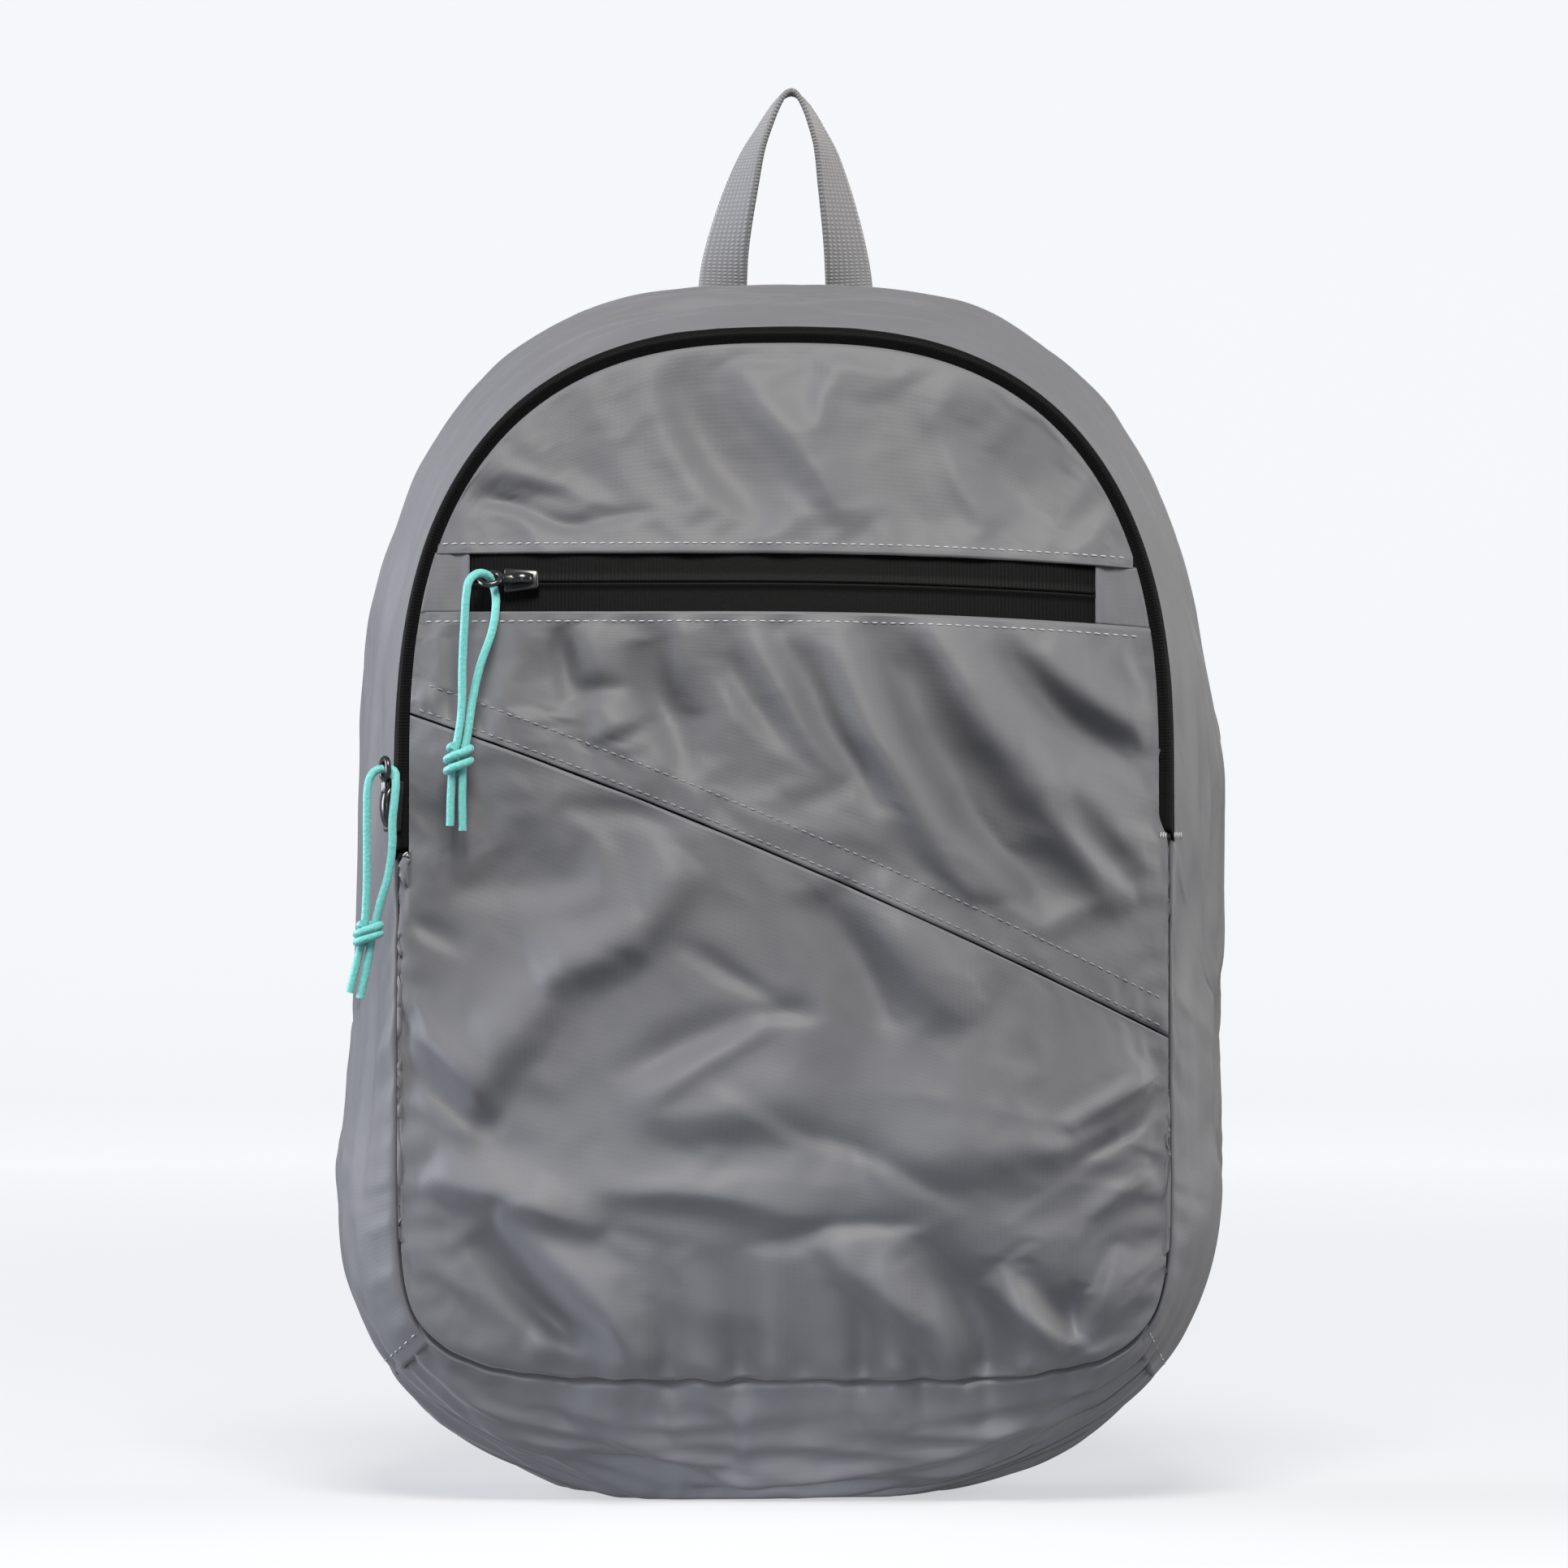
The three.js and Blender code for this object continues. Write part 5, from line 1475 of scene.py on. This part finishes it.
# Binding: how far round the edge it wraps in half turns, and its set-in, reach, proud edge and lift in mm
BINDING = dict(wrap=0.55, set_in=1.2, reach=2, proud=0.5, lift=0.3)
BINDING_WALL = 0.4
MESH_HOLE = 0.0024
BINDING_RIB = 0.0012
# Places along each strap: x, y and z of its middle, and half its width, in mm
STRAP_PATH = [
    (47, 44.2, 362, 17),
    (48, 55, 349, 19),
    (52, 70, 314, 23),
    (58, 76, 260, 23),
    (67, 73, 206, 20),
    (75.5, 64, 159, 11),
]

spacer, tree, shader, where = finish("dark grey spacer mesh", "#5b5c60", 0.8, Sheen_Weight=0.3)
# Knitted spacer mesh: rows of small round holes, about 2.4 mm apart, darker inside than the yarn round them:
# the holes are filled with painted shade.
holes = node(tree, "ShaderNodeTexVoronoi", [("Vector", where, "UV")], scale=1 / MESH_HOLE, randomness=0.15)
knit = node(tree, "ShaderNodeMapRange", [("Value", holes, "Distance")], from_min=0.15, from_max=0.45)
# painted shade: the colour darkens towards each hole's middle, where the bump sinks it
tone = node(tree, "ShaderNodeMix", [(0, knit, 0)], data_type="RGBA")
tone.inputs[6].default_value = linear("#2f3033")
tone.inputs[7].default_value = linear("#66676b")
tree.links.new(tone.outputs[2], shader.inputs["Base Color"])
relief = node(tree, "ShaderNodeBump", [("Height", knit, 0)], strength=0.7, distance=0.0006)
tree.links.new(relief.outputs[0], shader.inputs["Normal"])

bound, tree, shader, where = finish("grey binding tape", "#6d6e72", 0.7, Sheen_Weight=0.2)
# Narrow woven tape folded over the edge: fine ribs across it, drawn 1.2 mm apart, with painted shade
# darkening the grooves between them.
on_cut = [("Vector", where, "UV")]
ribs = node(tree, "ShaderNodeTexWave", on_cut, bands_direction="X", scale=WAVE_LENGTH / BINDING_RIB)
# painted shade: the colour follows the ribs' height, darker in the grooves
tone = node(tree, "ShaderNodeMix", [(0, ribs, "Fac")], data_type="RGBA")
tone.inputs[6].default_value = linear("#626367")
tone.inputs[7].default_value = linear("#77787c")
tree.links.new(tone.outputs[2], shader.inputs["Base Color"])
relief = node(tree, "ShaderNodeBump", [("Height", ribs, "Fac")], strength=0.4, distance=0.0003)
tree.links.new(relief.outputs[0], shader.inputs["Normal"])

for name, side in (("left", -1), ("right", 1)):
    run = [Vector((side * x, y, z)) for x, y, z, _ in STRAP_PATH]
    halves = [Vector((half, 0, 0)) for *_, half in STRAP_PATH]

    def strap_frame(u):
        """Middle, half width and outward direction of the strap at a share of its length."""
        along = through(run, min(u + 0.01, 1)) - through(run, max(u - 0.01, 0))
        out = along.cross(Vector((-1, 0, 0))).normalized()
        return through(run, u), through(halves, u).x, out

    def strap_face(u, v):
        middle, half, out = strap_frame(u)
        off = 2 * v - 1
        puff = STRAP_PUFF * (1 - off**4) * min(1, 12 * u, 12 * (1 - u))
        channel = CHANNEL["depth"] * math.exp(-(((abs(off) - CHANNEL["at"]) / CHANNEL["width"]) ** 2))
        return middle + Vector((half * off, 0, 0)) + out * (puff - channel)

    strap = cloth_panel("shoulder_strap_pad_" + name, 84, 22, strap_face, spacer, (0.22, 0.046))
    dress(strap, STRAP_WALL * MM, ["shoulder_strap_" + name])

    for edge in (-1, 1):

        def binding_face(u, v):
            middle, half, out = strap_frame(u)
            angle = lerp(-BINDING["wrap"], BINDING["wrap"], v) * math.pi * edge
            aside = half - BINDING["set_in"] + BINDING["reach"] * math.cos(angle)
            over = math.sin(angle) * edge * (STRAP_WALL / 2 + BINDING["proud"])
            over = over - STRAP_WALL / 2 + BINDING["lift"]
            return middle + Vector((edge * aside, 0, 0)) + out * over

        edge_name = "inner" if edge * side < 0 else "outer"
        tape_name = f"strap_binding_{name}_{edge_name}"
        tape = cloth_panel(tape_name, 84, 8, binding_face, bound, (0.22, 0.009))
        dress(tape, BINDING_WALL * MM, [])

# Strap buckles
# Moulded acetal ladder locks: three bars with two grooves between them. The strap's end is sewn to the upper
# bar and the lower webbing is threaded behind the others.
BUCKLE = dict(width=24, height=22, bar=5, edge=0.7, x=76.5, y=66.4, z=147.5)
SPARK_GRAIN = 0.0006

acetal, tree, shader, where = finish("black moulded acetal", "#1b1b1c", 0.4, Specular_IOR_Level=0.5)
# Moulded acetal: satin black with the fine spark-eroded grain of its mould, drawn 0.6 mm wide so that it
# shows.
spark = node(tree, "ShaderNodeTexNoise", [("Vector", where, "Object")], scale=1 / SPARK_GRAIN, detail=3)
tone = node(tree, "ShaderNodeMix", [(0, spark, "Fac")], data_type="RGBA")
tone.inputs[6].default_value = linear("#161617")
tone.inputs[7].default_value = linear("#242426")
tree.links.new(tone.outputs[2], shader.inputs["Base Color"])
relief = node(tree, "ShaderNodeBump", [("Height", spark, "Fac")], strength=0.2, distance=0.0002)
tree.links.new(relief.outputs[0], shader.inputs["Normal"])

# Section of the buckle round from its top: depth behind the outer face and height, as shares
BUCKLE_SECTION = [
    (0, 0.5),
    (0, 0.36),
    (0.6, 0.25),
    (0, 0.13),
    (0, -0.13),
    (0.6, -0.25),
    (0, -0.36),
    (0, -0.5),
    (1, -0.5),
    (1, 0.5),
]
for name, side in (("left", -1), ("right", 1)):
    mesh = bmesh.new()
    corners = []
    for depth, high in BUCKLE_SECTION:
        y = BUCKLE["y"] - BUCKLE["bar"] + BUCKLE["bar"] * (1 - depth)
        corners.append(mesh.verts.new((-BUCKLE["width"] / 2, y, BUCKLE["z"] + BUCKLE["height"] * high)))
    cap = mesh.faces.new(corners)
    pushed = bmesh.ops.extrude_face_region(mesh, geom=[cap])["geom"]
    moved = [item for item in pushed if isinstance(item, bmesh.types.BMVert)]
    bmesh.ops.translate(mesh, verts=moved, vec=(BUCKLE["width"], 0, 0))
    bmesh.ops.translate(mesh, verts=mesh.verts, vec=(side * BUCKLE["x"], 0, 0))
    bmesh.ops.recalc_face_normals(mesh, faces=mesh.faces)
    every = mesh.edges[:]
    bmesh.ops.bevel(
        mesh, geom=every, offset=BUCKLE["edge"], segments=3, profile=0.5, affect="EDGES", material=-1
    )
    bmesh.ops.scale(mesh, vec=(MM, MM, MM), verts=mesh.verts)
    buckle = link_mesh("strap_ladder_lock_" + name, mesh, acetal)
    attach(buckle, "root")
    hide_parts("strap_buckle_" + name)

# Lower webbing
# A length of the same 15 mm webbing from each buckle down to the lower corner, where it is sewn into the
# back seam.
LOWER_WEB_WALL = 0.0014
LOWER_WEB_SKEW = 4
LOWER_WEB_PATH = [(77.5, 59.4, 147), (88, 58.4, 113), (98, 55, 84), (108, 51.2, 56)]
for name, side in (("left", -1), ("right", 1)):
    run = [Vector((side * x, y, z)) for x, y, z in LOWER_WEB_PATH]
    half = Vector((HANDLE_WIDTH / 2, 0, side * LOWER_WEB_SKEW))

    def lower_face(u, v):
        return through(run, u) + half * (2 * v - 1)

    lower = cloth_panel("lower_strap_webbing_" + name, 48, 8, lower_face, webbing, (0.1, 0.015))
    dress(lower, LOWER_WEB_WALL, ["lower_webbing_" + name])

size = {"cad": [list(corner) for corner in cad_box], "visual": [list(corner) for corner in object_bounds()]}
